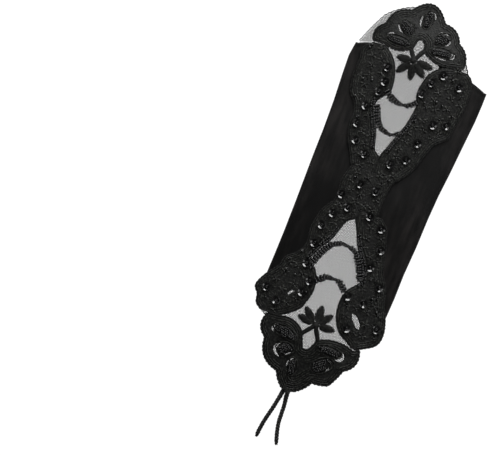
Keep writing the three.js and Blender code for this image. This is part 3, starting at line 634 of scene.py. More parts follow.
def makeSleeve():
    s = satinSleeve
    top = 2 * s["side"] + s["cut"]
    bottom = 2 * s["bottom"] + s["cut"]
    columns = top + bottom + 2 * s["fold"]
    bm = bmesh.new()
    bm.loops.layers.uv.new("UVMap")
    bmesh.ops.create_grid(bm, x_segments=columns, y_segments=s["rows"], size=1, calc_uvs=True)
    radius = mitten["foldRadius"]
    cutColumns = set(range(s["side"], s["side"] + s["cut"]))
    bottomStart = top + s["fold"] + s["bottom"]
    cutColumns |= set(range(bottomStart, bottomStart + s["cut"]))

    def between(step, count, left, cutLeft, cutRight, right, sideCount):
        if step <= sideCount:
            t = step / sideCount
            return left + (cutLeft - left) * (t ** 1.35 if count == top else t)
        if step < sideCount + s["cut"]:
            return cutLeft + (cutRight - cutLeft) * (step - sideCount) / s["cut"]
        t = (step - sideCount - s["cut"]) / sideCount
        return right + (cutRight - right) * ((1 - t) ** 1.35 if count == top else 1 - t)

    places = {}
    for v in bm.verts:
        column = round((v.co.x + 1) / 2 * columns)
        row = round((v.co.y + 1) / 2 * s["rows"])
        places[v] = (column % columns, row)
        along = -1 + 2 * row / s["rows"]
        y = middle + along * halfLength
        left, right = float(sideAt(0, y)) + radius, float(sideAt(1, y)) - radius
        cutLeft, cutRight = cutEdges(y)
        column %= columns
        if column <= top:
            x = between(column, top, left, cutLeft, cutRight, right, s["side"])
            z = float(frontTop(x, y))
            edge = min(1, min(x - left, right - x) / (9 * mm))
            ripple = noise.noise(Vector((x * 62, y * 30, 3)))
            ripple += 0.6 * noise.noise(Vector((x * 130, y * 70, 9)))
            z -= s["pucker"] * max(0, edge) * (0.5 + 0.5 * ripple)
        elif column < top + s["fold"]:
            angle = math.pi / 2 - math.pi * (column - top) / s["fold"]
            x, z = right + radius * math.cos(angle), radius + radius * math.sin(angle)
        elif column <= top + s["fold"] + bottom:
            step = bottom - (column - top - s["fold"])
            x, z = between(step, bottom, left, cutLeft, cutRight, right, s["bottom"]), 0
        else:
            angle = -math.pi / 2 - math.pi * (column - top - s["fold"] - bottom) / s["fold"]
            x, z = left + radius * math.cos(angle), radius + radius * math.sin(angle)
        share = (2 * x - left - right) / (right - left)
        drop = hemDrop("arm" if along > 0 else "hand", share) * along ** 4
        hemRoll = 0.16 * mm * math.exp(-((1 - abs(along)) * halfLength / mm - 4.2) ** 2 / 0.5)
        if column <= top:
            z -= hemRoll
        v.co = (x, y - math.copysign(drop, along), z)
    gone = []
    for face in bm.faces:
        cells = [places[v] for v in face.verts]
        low = min(c for c, _ in cells)
        isNarrow = max(c for c, _ in cells) == low + 1
        if low in cutColumns and isNarrow and inCut(face.calc_center_median().y):
            gone.append(face)
    bmesh.ops.delete(bm, geom=gone, context="FACES")
    bmesh.ops.remove_doubles(bm, verts=bm.verts, dist=1e-7)
    bmesh.ops.recalc_face_normals(bm, faces=bm.faces)
    mesh = meshFrom(bm, "satinSleeve")
    obj = newObject("satinSleeve", mesh, satinCloth)
    wall = obj.modifiers.new("wall", "SOLIDIFY")
    wall.thickness = s["wall"]
    wall.offset = -1
    hand(obj, ["satin_sleeve"])


makeSleeve()
print("satin sleeve made")


# nets of knotted thread in the cuts and past the hems: across, out, bulge
nets = {"pitch": 1.08 * mm, "thread": 0.172 * mm, "drop": 0.25 * mm, "seam": 1.6 * mm, "hem": 0.22 * mm}
armTongue = [
    (-0.62, -0.3, 0), (-0.62, -0.1, 0.02), (-0.465, 0.535, 0.07), (-0.157, 0.895, 0.08),
    (0.035, 0.9, 0.02), (0.376, 0.367, 0.03), (0.52, -0.02, 0), (0.53, -0.3, 0),
]
handTongue = [
    (-0.65, -0.2, 0), (-0.65, 0.03, 0), (-0.57, 0.1, 0), (-0.5, 0.2, -0.04), (-0.42, 0.55, -0.08),
    (-0.08, 0.92, -0.06), (0.26, 0.6, -0.04), (0.4, 0.14, 0), (0.42, -0.2, 0),
]


def backTop(x, y):
    return np.zeros(np.shape(x)) + 0.45 * mm


def hemLine(y, x):  # y of the hem at a place across the sleeve
    arm = y > middle
    hemY = armHem if arm else handHem
    left, right = float(sideAt(0, hemY)), float(sideAt(1, hemY))
    share = (2 * x - left - right) / (right - left)
    return hemY - hemDrop("arm", share) if arm else hemY + hemDrop("hand", share)


def inNet(x, y, tongue):
    arm = y > middle
    past = y > hemLine(y, x) if arm else y < hemLine(y, x)
    if past:
        return tongue
    left, right = cutEdges(y)
    return inCut(y) and left - nets["seam"] < x < right + nets["seam"]


def makeNet(name, node, tongueRows, place, height, turn):
    tongueLoop = arcLoop(tongueRows, place, 1)
    ys = [p.y for p in tongueLoop]
    arm = max(ys) > 0
    apex = middle + (armCut if arm else handCut)[0][0] * halfLength
    low, high = (apex, max(ys)) if arm else (min(ys), apex)
    bm = bmesh.new()
    bmesh.ops.create_circle(bm, segments=6, radius=nets["pitch"] / math.sqrt(3), cap_ends=True)
    bmesh.ops.rotate(bm, verts=bm.verts, matrix=Matrix.Rotation(math.radians(30), 3, "Z"))
    cell = newObject(name, meshFrom(bm, name))
    reach = (high - low) * 0.75 + 30 * mm
    across = math.ceil(2 * reach / nets["pitch"])
    along = math.ceil(2 * reach / (nets["pitch"] * math.sqrt(3)))
    for count, step in (
        (2, (nets["pitch"] / 2, nets["pitch"] * math.sqrt(3) / 2, 0)), (across, (nets["pitch"], 0, 0)),
        (along, (0, nets["pitch"] * math.sqrt(3), 0)),
    ):
        array = cell.modifiers.new("field", "ARRAY")
        array.use_relative_offset = False
        array.use_constant_offset = True
        array.constant_offset_displace = step
        array.count = count
    field = meshOf(cell)
    bm = bmesh.new()
    bm.from_mesh(field)
    bmesh.ops.translate(bm, verts=bm.verts, vec=(-reach, -reach, 0))
    bmesh.ops.rotate(bm, verts=bm.verts, matrix=Matrix.Rotation(math.radians(turn), 3, "Z"))
    bmesh.ops.translate(bm, verts=bm.verts, vec=(0, (low + high) / 2, 0))
    centres = [face.calc_center_median() for face in bm.faces]
    tongue = insideLoop([(c.x, c.y) for c in centres], tongueLoop)
    gone = [
        f for f, c, t in zip(bm.faces, centres, tongue) if not (low < c.y < high and inNet(c.x, c.y, t))
    ]
    bmesh.ops.delete(bm, geom=gone, context="FACES")
    bmesh.ops.remove_doubles(bm, verts=bm.verts, dist=nets["pitch"] / 8)
    cutArea = sum(face.calc_area() for face in bm.faces)
    drape(bm.verts, -nets["drop"] if height is frontTop else 0, height)
    obj = newObject(name, meshFrom(bm, name), netThread)
    wire = obj.modifiers.new("threads", "WIREFRAME")
    wire.thickness = 2 * nets["thread"]
    wire.use_even_offset = False
    wire.use_replace = True
    threads = meshOf(obj)
    hem = [p for p in tongueLoop if (p.y > hemLine(p.y, p.x) if arm else p.y < hemLine(p.y, p.x))]
    start = max(range(len(hem)), key=lambda i: (hem[i] - hem[i - 1]).length)
    hem = hem[start:] + hem[:start]
    lengths = np.cumsum([0] + [(b - a).length for a, b in zip(hem, hem[1:])])
    wavy = []
    for i, p in enumerate(hem[1:-1], 1):
        direction = (hem[i + 1] - hem[i - 1]).normalized()
        swing = 0.5 * mm * abs(math.sin(math.pi * lengths[i] / (3.2 * mm)))
        wavy.append(p + swing * Vector((-direction.y, direction.x)))
    tops = height([p.x for p in wavy], [p.y for p in wavy])
    drop = -nets["drop"] if height is frontTop else 0
    hemLoop = [(p.x, p.y, float(t) + drop) for p, t in zip(wavy, tops)]
    edge = tubeMesh(name + "Edge", [hemLoop], nets["hem"], 1)
    whole = newObject(name, joinedMesh(name, [threads, edge]), netThread)
    hand(whole, [node])


makeNet("netFrontArm", "net_front_arm", armTongue, onArmCrest, frontTop, 7)
makeNet("netFrontHand", "net_front_hand", handTongue, onHandCrest, frontTop, -9)
makeNet("netBackArm", "net_back_arm", armTongue, onArmCrest, backTop, 31)
makeNet("netBackHand", "net_back_hand", handTongue, onHandCrest, backTop, 24)
print("nets made")


# small parts that are copied: seed bead and cup sequin
def spunRing(bm, profile, steps):
    verts = [bm.verts.new((r, 0, z)) for r, z in profile]
    edges = [bm.edges.new(pair) for pair in zip(verts, verts[1:] + verts[:1])]
    bmesh.ops.spin(
        bm, geom=verts + edges, cent=(0, 0, 0), axis=(0, 0, 1), angle=2 * math.pi, steps=steps, use_merge=True,
    )


seedBead = {"diameter": 2.0 * mm, "length": 1.5 * mm, "hole": 0.7 * mm}
cupSequin = {
    "diameter": 5.8 * mm, "depth": 1.15 * mm, "floor": 2.0 * mm, "hole": 0.6 * mm, "wall": 0.16 * mm, "facets": 12,
}


def makeSeedBead():
    bm = bmesh.new()
    outer, hole, half = seedBead["diameter"] / 2, seedBead["hole"] / 2, seedBead["length"] / 2
    ring = (outer - hole) / 2
    angles = (math.pi * k / 3 for k in range(6))
    profile = [(hole + ring + ring * math.cos(a), half * math.sin(a)) for a in angles]
    spunRing(bm, profile, 10)
    bmesh.ops.recalc_face_normals(bm, faces=bm.faces)
    return newObject("seedBeadSource", meshFrom(bm, "seedBead"), beadGlass)


def makeCup():
    bm = bmesh.new()
    wide, flat = cupSequin["diameter"] / 2, cupSequin["floor"] / 2
    hole, deep, wall = cupSequin["hole"] / 2, cupSequin["depth"], cupSequin["wall"]
    profile = [
        (hole, 0), (flat, 0), (wide, deep), (wide - 0.3 * wall, deep + wall), (flat - wall / 3, wall), (hole, wall),
    ]
    spunRing(bm, profile, cupSequin["facets"])
    bmesh.ops.recalc_face_normals(bm, faces=bm.faces)
    return newObject("cupSource", meshFrom(bm, "cup", False), sequinGloss)


beadSource, cupSource = makeSeedBead(), makeCup()


def beadSpots(places, lift, lean=0.35, size=1.0):  # beads lying any way up on the lace
    spots = []
    for p in places:
        top = float(frontTop(p[0], p[1]))
        tilt = Euler((
            random.uniform(-lean, lean) + math.pi / 2 * (random.random() < 0.6), random.uniform(-lean, lean),
            random.uniform(0, math.pi),
        ))
        scale = size * random.uniform(0.92, 1.06)
        spots.append((Vector((p[0], p[1], top + lift)), tilt, (scale, scale, scale)))
    return spots


# lace: plate, raised petals, cords along the edges, rows of couching inside
laceWork = {
    "cord": 0.42 * mm, "pitch": 2.1 * mm, "row": 0.5 * mm, "rowGap": 1.4 * mm, "petalRise": 0.9 * mm,
    "scallop": 2.5 * mm, "scallopSwing": 0.6 * mm, "petalBeads": 1.5 * mm, "petalBeadSize": 0.76,
}


def plateMesh(name, loops, lift=laceTop, spacing=2.6 * mm):
    curve = bpy.data.curves.new(name, "CURVE")
    curve.dimensions = "2D"
    curve.fill_mode = "BOTH"
    for loop in loops:
        spline = curve.splines.new("POLY")
        spline.points.add(len(loop) - 1)
        spline.points.foreach_set("co", [c for p in loop for c in (p.x, p.y, 0, 1)])
        spline.use_cyclic_u = True
    obj = bpy.data.objects.new(name, curve)
    scene.collection.objects.link(obj)
    flat = meshOf(obj)
    bm = bmesh.new()
    bm.from_mesh(flat)
    bmesh.ops.remove_doubles(bm, verts=bm.verts, dist=1e-6)
    for axis in (0, 1):
        low, high = min(v.co[axis] for v in bm.verts), max(v.co[axis] for v in bm.verts)
        for k in range(1, math.ceil((high - low) / spacing)):
            normal = Vector((axis == 0, axis == 1, 0))
            bmesh.ops.bisect_plane(
                bm, geom=bm.verts[:] + bm.edges[:] + bm.faces[:], plane_co=normal * (low + k * spacing),
                plane_no=normal, dist=1e-7,
            )
    drape(bm.verts, lift)
    bmesh.ops.recalc_face_normals(bm, faces=bm.faces)
    if sum(f.normal.z for f in bm.faces) < 0:
        bmesh.ops.reverse_faces(bm, faces=bm.faces)
    obj = newObject(name, meshFrom(bm, name))
    wall = obj.modifiers.new("wall", "SOLIDIFY")
    wall.thickness = mitten["laceThickness"]
    wall.offset = -1
    return meshOf(obj)


def makeGround(name, node, outline, slits):  # the lace's cloth, under its own threads
    ground = hand(newObject(name, plateMesh(name, [outline] + slits), laceGround), [node])


def petalMesh(name, centre, long, wide, angle, rise, pointed=0.0, segments=(28, 12)):
    bm = bmesh.new()
    bmesh.ops.create_uvsphere(bm, u_segments=segments[0], v_segments=segments[1], radius=1)
    for v in bm.verts:
        taper = 1 - pointed * abs(v.co.x) ** 1.5
        v.co = Vector((v.co.x * long / 2, v.co.y * wide / 2 * taper, v.co.z * rise))
    bmesh.ops.rotate(bm, verts=bm.verts, matrix=Matrix.Rotation(angle, 3, "Z"))
    bmesh.ops.translate(bm, verts=bm.verts, vec=(centre.x, centre.y, 0))
    drape(bm.verts, laceTop - 0.15 * mm)
    return meshFrom(bm, name)


def crescent(a, b, bulge, width):
    chord = b - a
    control = (a + b) / 2 + Vector((-chord.y, chord.x)) * 2 * bulge
    count = 10
    left, right = [], []
    for i in range(1, count):
        t = i / count
        point = (1 - t) ** 2 * a + 2 * t * (1 - t) * control + t * t * b
        along = (2 * (1 - t) * (control - a) + 2 * t * (b - control)).normalized()
        aside = Vector((-along.y, along.x)) * width / 2 * min(1, 1.5 * math.sin(math.pi * t))
        left.append(point + aside)
        right.append(point - aside)
    return [a] + left + [b] + right[::-1]


def ellipseLoop(centre, long, wide, angle, steps=48):
    turned = Matrix.Rotation(angle, 2)
    return [
        centre + turned @ Vector((long / 2 * math.cos(a), wide / 2 * math.sin(a)))
        for a in (2 * math.pi * k / steps for k in range(steps))
    ]


def gridSpots(centre, long, wide, angle, pitch):  # places in an oval, in staggered rows
    turned = Matrix.Rotation(angle, 2)
    spots = []
    rows = int(wide / pitch)
    for j in range(-rows, rows + 1):
        for i in range(-30, 31):
            local = Vector(((i + 0.5 * (j % 2)) * pitch, j * pitch * 0.9))
            if (2 * local.x / (long - pitch)) ** 2 + (2 * local.y / (wide - pitch)) ** 2 <= 1:
                jitter = Vector((random.uniform(-1, 1), random.uniform(-1, 1))) * 0.12 * pitch
                spots.append(centre + turned @ (local + jitter))
    return spots


def edgeCords(name, loops, lift, radius=None):
    radius = radius or laceWork["cord"]
    strands = []
    for loop in loops:
        line = lifted(loop + loop[:1], lift)
        strands += twisted(line, radius * 0.75, laceWork["pitch"])
    return tubeMesh(name, strands, radius, 1)


def couching(name, outline, edges, distances, lift):  # rows of knotted cord that follow an outline
    paths = []
    for distance in distances:
        for chain in rowsInside(outline, distance, edges):
            paths.append(lifted(chain, lift))
    return [tubeMesh(name, paths, laceWork["row"], 1, shape="knots")] if paths else []


def outwards(loop):
    return -1 if loopArea(loop) > 0 else 1


# crests: outline as across, out, bulge; petals as across, out, long, wide, turn
crestArm = {
    "outline": [
        (-0.49, 0.02, 0.2), (-0.422, 0.385, 0.2), (-0.227, 0.775, 0.38), (0.125, 0.743, 0.19),
        (0.323, 0.478, 0.18), (0.442, 0.065, 0), (0.347, 0.03, 0.13), (0.034, 0.125, 0),
        (0.011, 0.266, -0.5), (-0.091, 0.206, 0), (-0.104, 0.116, 0.16), (-0.368, 0.03, 0),
    ],
    "petals": [
        (-0.258, 0.155, 0.28, 0.12, 0), (-0.212, 0.45, 0.2, 0.13, 145),
        (-0.043, 0.723, 0.21, 0.115, 88), (0.155, 0.467, 0.2, 0.13, 38), (0.19, 0.207, 0.26, 0.12, 8),
    ],
    "slits": [
        (-0.389, 0.125, -0.303, 0.263, 0.25, 1.2), (-0.309, 0.474, -0.237, 0.317, -0.12, 1.2),
        (-0.199, 0.545, -0.138, 0.47, 0.1, 1.1), (-0.09, 0.542, -0.105, 0.769, 0.1, 1.1),
        (-0.049, 0.893, 0.025, 0.77, 0.2, 1.3), (0.101, 0.556, 0.205, 0.568, 0.15, 1.1),
        (0.235, 0.499, 0.201, 0.367, 0.2, 1.2), (0.285, 0.288, 0.285, 0.149, 0.4, 2.2),
        (0.122, 0.114, 0.268, 0.12, -0.06, 1),
    ],
    "place": onArmCrest, "side": 1, "under": "netFrontArm",
}
crestHand = {
    "outline": [
        (-0.545, 0.065, 0.22), (-0.487, 0.391, 0.2), (-0.265, 0.78, 0.07), (-0.152, 0.998, 0),
        (-0.044, 0.985, 0.07), (0.099, 0.777, 0.05), (0.261, 0.737, 0.03), (0.35, 0.47, 0.22),
        (0.435, 0.125, 0), (0.384, 0.177, 0.12), (0.016, 0.194, 0), (-0.03, 0.34, -0.2),
        (-0.112, 0.369, 0), (-0.177, 0.14, 0.16), (-0.427, 0.052, 0),
    ],
    "petals": [
        (-0.319, 0.23, 0.29, 0.13, 12), (-0.268, 0.454, 0.2, 0.14, -8), (-0.141, 0.66, 0.2, 0.12, 80),
        (0.138, 0.501, 0.26, 0.16, -35), (0.165, 0.275, 0.28, 0.12, 3),
    ],
    "slits": [
        (-0.429, 0.158, -0.436, 0.282, 0.25, 1.5), (-0.312, 0.369, -0.283, 0.599, 0.42, 1.7),
        (-0.257, 0.535, -0.194, 0.472, 0, 1.3), (-0.191, 0.693, -0.143, 0.54, -0.2, 1),
        (0.18, 0.438, 0.191, 0.587, -0.2, 1.4), (0.285, 0.224, 0.238, 0.363, -0.45, 2.3),
    ],
    "place": onHandCrest, "side": -1, "under": "netFrontHand",
}


def makeCrest(name, node, crest):
    place, side = crest["place"], crest["side"]
    outline = arcLoop(crest["outline"], place, side)
    slits = [
        crescent(place(a, b), place(c, d), side * bulge, wide * mm) for a, b, c, d, bulge, wide in crest["slits"]
    ]
    edges = treeOf([p for loop in [outline] + slits for p in loop])
    ground, threads = [], []
    beads, rings = [], []
    for across, out, long, wide, turn in crest["petals"]:
        centre, angle = place(across, out), side * math.radians(turn)
        long, wide = long * mitten["laceWidth"], wide * mitten["laceWidth"]
        ground.append(
            petalMesh(name, centre, long - 3 * mm, wide - 2.4 * mm, angle, laceWork["petalRise"], 0.35)
        )
        rings.append(ellipseLoop(centre, long - 0.8 * mm, wide - 0.6 * mm, angle))
        spots = gridSpots(centre, long - 1.6 * mm, wide - 1.4 * mm, angle, laceWork["petalBeads"])
        beads += [p for p in spots if edges.find((p.x, p.y, 0))[2] > 0.9 * mm]
    beadTree = treeOf(beads)
    distances = [0.95 * mm + k * laceWork["rowGap"] for k in range(9)]
    for distance in distances:
        chains = rowsInside(outline, distance, edges)
        clear = []
        for chain in chains:
            run = []
            for p in chain:
                if beadTree.find((p.x, p.y, 0))[2] > 1.5 * mm:
                    run.append(p)
                else:
                    clear.append(run)
                    run = []
            clear.append(run)
        paths = [lifted(run, laceTop + 0.05 * mm) for run in clear if len(run) > 3]
        if paths:
            threads.append(tubeMesh(name, paths, laceWork["row"], 1, shape="knots"))
    rim = scalloped(
        outline + outline[:1], laceWork["scallop"], laceWork["scallopSwing"], outwards(outline),
    )
    ground.append(edgeCords(name, [rim], laceTop - 0.35 * mm))
    clear = [[p for p in loop if edges.find((p.x, p.y, 0))[2] > 0.5 * mm] for loop in rings]
    threads.append(edgeCords(name, [c for c in clear if len(c) > 30], laceTop + 0.1 * mm, 0.3 * mm))
    work = newObject(name + "Threads", joinedMesh(name, ground, threads), laceGround, laceThread)
    hand(work)
    makeGround(name, node, outline, slits)
    spots = beadSpots(beads, laceTop + 0.9 * mm, size=laceWork["petalBeadSize"])
    beadWork = newObject(name + "Beads", copiesAt(name + "Beads", beadSource, spots, beadGlass))
    hand(beadWork)


def scalloped(line, pitch, swing, away):  # small scallops along an edge, turned away from a side
    lengths = np.cumsum([0] + [(b - a).length for a, b in zip(line, line[1:])])
    made = []
    for i in range(1, len(line) - 1):
        direction = (line[i + 1] - line[i - 1]).normalized()
        out = swing * abs(math.sin(math.pi * lengths[i] / pitch))
        made.append(line[i] + away * out * Vector((-direction.y, direction.x)))
    return made


makeCrest("laceCrestArm", "lace_crest_arm", crestArm)
makeCrest("laceCrestHand", "lace_crest_hand", crestHand)
print("crests made")

# lace bands beside the windows: along, outer, inner
armLeftBand = [
    (0.99, -0.47, -0.35), (0.93, -0.56, -0.253), (0.85, -0.55, -0.192), (0.74, -0.56, -0.16),
    (0.68, -0.55, -0.19), (0.61, -0.52, -0.262), (0.55, -0.45, -0.25), (0.471, -0.42, -0.2),
    (0.387, -0.42, -0.152), (0.29, -0.38, -0.115), (0.24, -0.34, -0.048), (0.137, -0.27, -0.055),
]
armRightBand = [
    (1, 0.5, 0.36), (0.97, 0.56, 0.245), (0.91, 0.59, 0.155), (0.81, 0.6, 0.11), (0.74, 0.59, 0.108),
    (0.67, 0.58, 0.14), (0.6, 0.56, 0.129), (0.53, 0.54, 0.11), (0.46, 0.43, 0.075),
    (0.36, 0.375, 0.02), (0.24, 0.315, -0.036), (0.137, 0.21, -0.035),
]
handLeftBand = [
    (-0.147, -0.32, -0.055), (-0.2, -0.37, -0.056), (-0.245, -0.4, -0.132), (-0.34, -0.43, -0.182),
    (-0.393, -0.43, -0.21), (-0.485, -0.42, -0.292), (-0.565, -0.48, -0.34), (-0.62, -0.57, -0.277),
    (-0.69, -0.6, -0.219), (-0.78, -0.7, -0.205), (-0.87, -0.757, -0.237), (-0.925, -0.712, -0.275),
    (-0.985, -0.69, -0.375), (-1.017, -0.63, -0.45),
]
handRightBand = [
    (-0.147, 0.19, -0.04), (-0.2, 0.27, -0.047), (-0.276, 0.31, 0.005), (-0.387, 0.355, 0.075),
    (-0.487, 0.385, 0.165), (-0.59, 0.47, 0.222), (-0.64, 0.49, 0.19), (-0.7, 0.51, 0.117),
    (-0.79, 0.57, 0.09), (-0.88, 0.605, 0.105), (-0.95, 0.6, 0.15), (-0.995, 0.56, 0.205),
    (-1.03, 0.48, 0.295), (-1.055, 0.41, 0.35),
]
medallion = [
    (0.135, -0.26, 0.19), (0.07, -0.29, 0.16), (0.01, -0.31, 0.15), (-0.06, -0.3, 0.14),
    (-0.11, -0.3, 0.14), (-0.145, -0.31, 0.14),
]
# slits: from across, along, to across, along, bulge, width
handLeftSlit = (-0.43, -0.865, -0.37, -0.815, 0.1, 1.6)
handRightSlit = (0.247, -0.834, 0.366, -0.924, 0.03, 3.6)
# sequins: across, along
sequinRows = {
    "arm_left": [
        (-0.266, 0.857), (-0.24, 0.757), (-0.265, 0.68), (-0.336, 0.555), (-0.36, 0.422),
        (-0.313, 0.308), (-0.185, 0.238),
    ],
    "arm_right": [
        (0.285, 0.934), (0.47, 0.893), (0.202, 0.858), (0.145, 0.765), (0.48, 0.616), (0.35, 0.586),
        (0.27, 0.432), (0.22, 0.297), (0.09, 0.23),
    ],
    "middle": [(-0.12, 0.032), (0.047, 0.017), (-0.265, -0.077), (-0.16, -0.15)],
    "hand_left": [
        (-0.28, -0.222), (-0.34, -0.325), (-0.35, -0.46), (-0.353, -0.61), (-0.263, -0.72),
        (-0.3, -0.81), (-0.65, -0.86), (-0.51, -0.925),
    ],
    "hand_right": [
        (0.08, -0.158), (0.223, -0.213), (0.291, -0.355), (0.252, -0.488), (0.408, -0.6),
        (0.141, -0.729), (0.31, -0.741), (0.53, -0.882), (0.237, -0.942),
    ],
}
# loose seed beads, as pixels of the photograph
looseBeads = [
    (369.5, 45), (372.3, 44.5), (369.8, 47.2), (363.2, 78.5), (372, 80), (355, 95.5), (360.3, 99.5),
    (357.5, 116.5), (362, 155.3), (367.5, 155.5), (452.5, 81), (424, 103), (436, 102.5), (442, 106.2),
    (415, 121.5), (354.7, 177), (389, 181), (383, 210), (302.5, 250.5), (289.3, 258.2), (286.8, 268.3),
    (295, 274.2), (306, 292), (276.7, 301.7), (366.5, 273), (358.5, 285.5), (380, 287.5), (382, 292.5),
    (372, 299), (372, 302), (362.8, 303.3), (376.5, 312.5), (346, 294.5), (376, 280.5), (370.5, 279),
]
# rows of small beads that hug the window's edge where the garlands meet it: how far in, spacing, size
huggingRows = {
    "from": 0.3, "to": 0.62, "rows": [(0.35 * mm, 1.6 * mm), (1.8 * mm, 1.7 * mm)], "size": 0.85, "clear": 3.3 * mm,
}


# work on the bands: rays round the sequins, five-petal leaves scattered between them, their beads
bandWork = {
    "rays": 22, "rayFrom": 3.3 * mm, "rayTo": (5.2, 6.6), "ray": 0.3 * mm, "rayEdge": 0.8 * mm, "tries": 900,
    "leafEdge": 3.2 * mm, "leafApart": 5.6 * mm, "petals": 5, "petalReach": 1.9 * mm, "petalLong": 3.2 * mm,
    "petalWide": 1.7 * mm, "petalRise": 0.55 * mm, "beadLift": 0.7 * mm, "leafBead": 0.7,
}


def bandLoop(rows):
    outer = smoothLine([onSleeve(outer, along) for along, outer, inner in rows])
    inner = smoothLine([onSleeve(inner, along) for along, outer, inner in rows])
    return outer + inner[::-1], outer, inner


def huggingSpots(inner, towards, away):
    spots = []
    for inward, spacing in huggingRows["rows"]:
        lengths = np.cumsum([0] + [(b - a).length for a, b in zip(inner, inner[1:])])
        for s in np.arange(spacing / 2, lengths[-1], spacing):
            i = min(int(np.searchsorted(lengths, s)), len(inner) - 2)
            share = abs(inner[i].y - middle) / halfLength
            direction = (inner[i + 1] - inner[i - 1]).normalized()
            aside = Vector((-direction.y, direction.x))
            aside *= towards if aside.x > 0 else -towards
            p = inner[i] + inward * aside
            isClear = min((p - q).length for q in away) > huggingRows["clear"]
            if huggingRows["from"] < share < huggingRows["to"] and isClear:
                spots.append(p)
    return spots


def makeBand(name, node, rows, slit=None, rowsOfSequins=(), hugged=True):
    loop, outer, inner = bandLoop(rows)
    slits = []
    if slit:
        slits = [crescent(onSleeve(slit[0], slit[1]), onSleeve(slit[2], slit[3]), slit[4], slit[5] * mm)]
    edges = treeOf([p for l in [loop] + slits for p in l])
    ground = []
    rim = scalloped(loop + loop[:1], laceWork["scallop"], laceWork["scallopSwing"] * 0.6, outwards(loop))
    ground.append(edgeCords(name, [rim], laceTop - 0.35 * mm, 0.34 * mm))
    distances = [0.95 * mm + k * laceWork["rowGap"] for k in range(3)]
    threads = couching(name, loop, edges, distances, laceTop - 0.05 * mm)
    # rays round each sequin
    rays = []
    sequins = [onSleeve(*p) for key in rowsOfSequins for p in sequinRows[key]]
    for centre in sequins:
        for k in range(bandWork["rays"]):
            angle = 2 * math.pi * (k + random.random() * 0.4) / bandWork["rays"]
            direction = Vector((math.cos(angle), math.sin(angle)))
            a = centre + direction * bandWork["rayFrom"]
            b = centre + direction * random.uniform(*bandWork["rayTo"]) * mm
            if insideLoop([a, b], loop).all() and edges.find((b.x, b.y, 0))[2] > bandWork["rayEdge"]:
                rays.append(lifted([a, (a + b) / 2, b], laceTop + 0.12 * mm))
    threads.append(tubeMesh(name, rays, bandWork["ray"], 1, shape="taper"))
    # leaves scattered between them
    placed = list(sequins)
    leaves = []
    low, high = [min(p[i] for p in loop) for i in (0, 1)], [max(p[i] for p in loop) for i in (0, 1)]
    for _ in range(bandWork["tries"]):
        p = Vector((random.uniform(low[0], high[0]), random.uniform(low[1], high[1])))
        if not insideLoop([p], loop)[0] or edges.find((p.x, p.y, 0))[2] < bandWork["leafEdge"]:
            continue
        if min((p - q).length for q in placed) < bandWork["leafApart"]:
            continue
        placed.append(p)
        leaves.append(p)
    for p in leaves:
        spin = random.random() * math.pi
        for k in range(bandWork["petals"]):
            angle = spin + 2 * math.pi * k / bandWork["petals"]
            centre = p + Vector((math.cos(angle), math.sin(angle))) * bandWork["petalReach"]
            petal = petalMesh(
                name, centre, bandWork["petalLong"], bandWork["petalWide"], angle, bandWork["petalRise"], 0.5, (10, 6),
            )
            threads.append(petal)
    work = newObject(name + "Threads", joinedMesh(name, ground, threads), laceGround, laceThread)
    hand(work)
    makeGround(name, node, loop, slits)
    spots = beadSpots(leaves, laceTop + bandWork["beadLift"], size=bandWork["leafBead"])
    loose = [onPhoto(*p) for p in looseBeads]
    within = insideLoop(loose, loop)
    spots += beadSpots([p for p, fits in zip(loose, within) if fits], laceTop + bandWork["beadLift"])
    if hugged:
        towards = 1 if outer[0].x > inner[0].x else -1
        hugging = huggingSpots(inner, towards, sequins)
        spots += beadSpots(hugging, laceTop + bandWork["beadLift"], size=huggingRows["size"])
    beads = newObject(name + "Beads", copiesAt(name + "Beads", beadSource, spots, beadGlass))
    hand(beads)


makeBand("laceArmLeft", "lace_arm_left", armLeftBand, None, ["arm_left"])
makeBand("laceArmRight", "lace_arm_right", armRightBand, None, ["arm_right"])
makeBand("laceHandLeft", "lace_hand_left", handLeftBand, handLeftSlit, ["hand_left"])
makeBand("laceHandRight", "lace_hand_right", handRightBand, handRightSlit, ["hand_right"])
makeBand("laceMedallion", "lace_medallion", medallion, None, ["middle"], False)
print("bands made")

# leaf flowers on the net: padded leaves under slanting stitches
flowerArm = {
    "centre": (-0.048, 0.964),
    "tips": [(-0.222, 0.945), (-0.173, 0.844), (-0.011, 0.824), (0.113, 0.866), (0.165, 0.949)],
    "stems": [(-0.096, 1.022), (0.008, 1.03)],
}
flowerHand = {
    "centre": (-0.061, -0.995),
    "tips": [(-0.262, -0.97), (-0.22, -0.895), (-0.057, -0.848), (0.075, -0.89), (0.142, -0.989)],
    "stems": [(-0.14, -1.062), (-0.005, -1.068)],
}
leafWork = {
    "width": 5.5 * mm, "rise": 0.7 * mm, "stitch": 0.3 * mm, "stemWidth": 3.8 * mm, "stitches": 0.8 * mm,
    "lean": 0.13, "stemReach": 1.35,
}


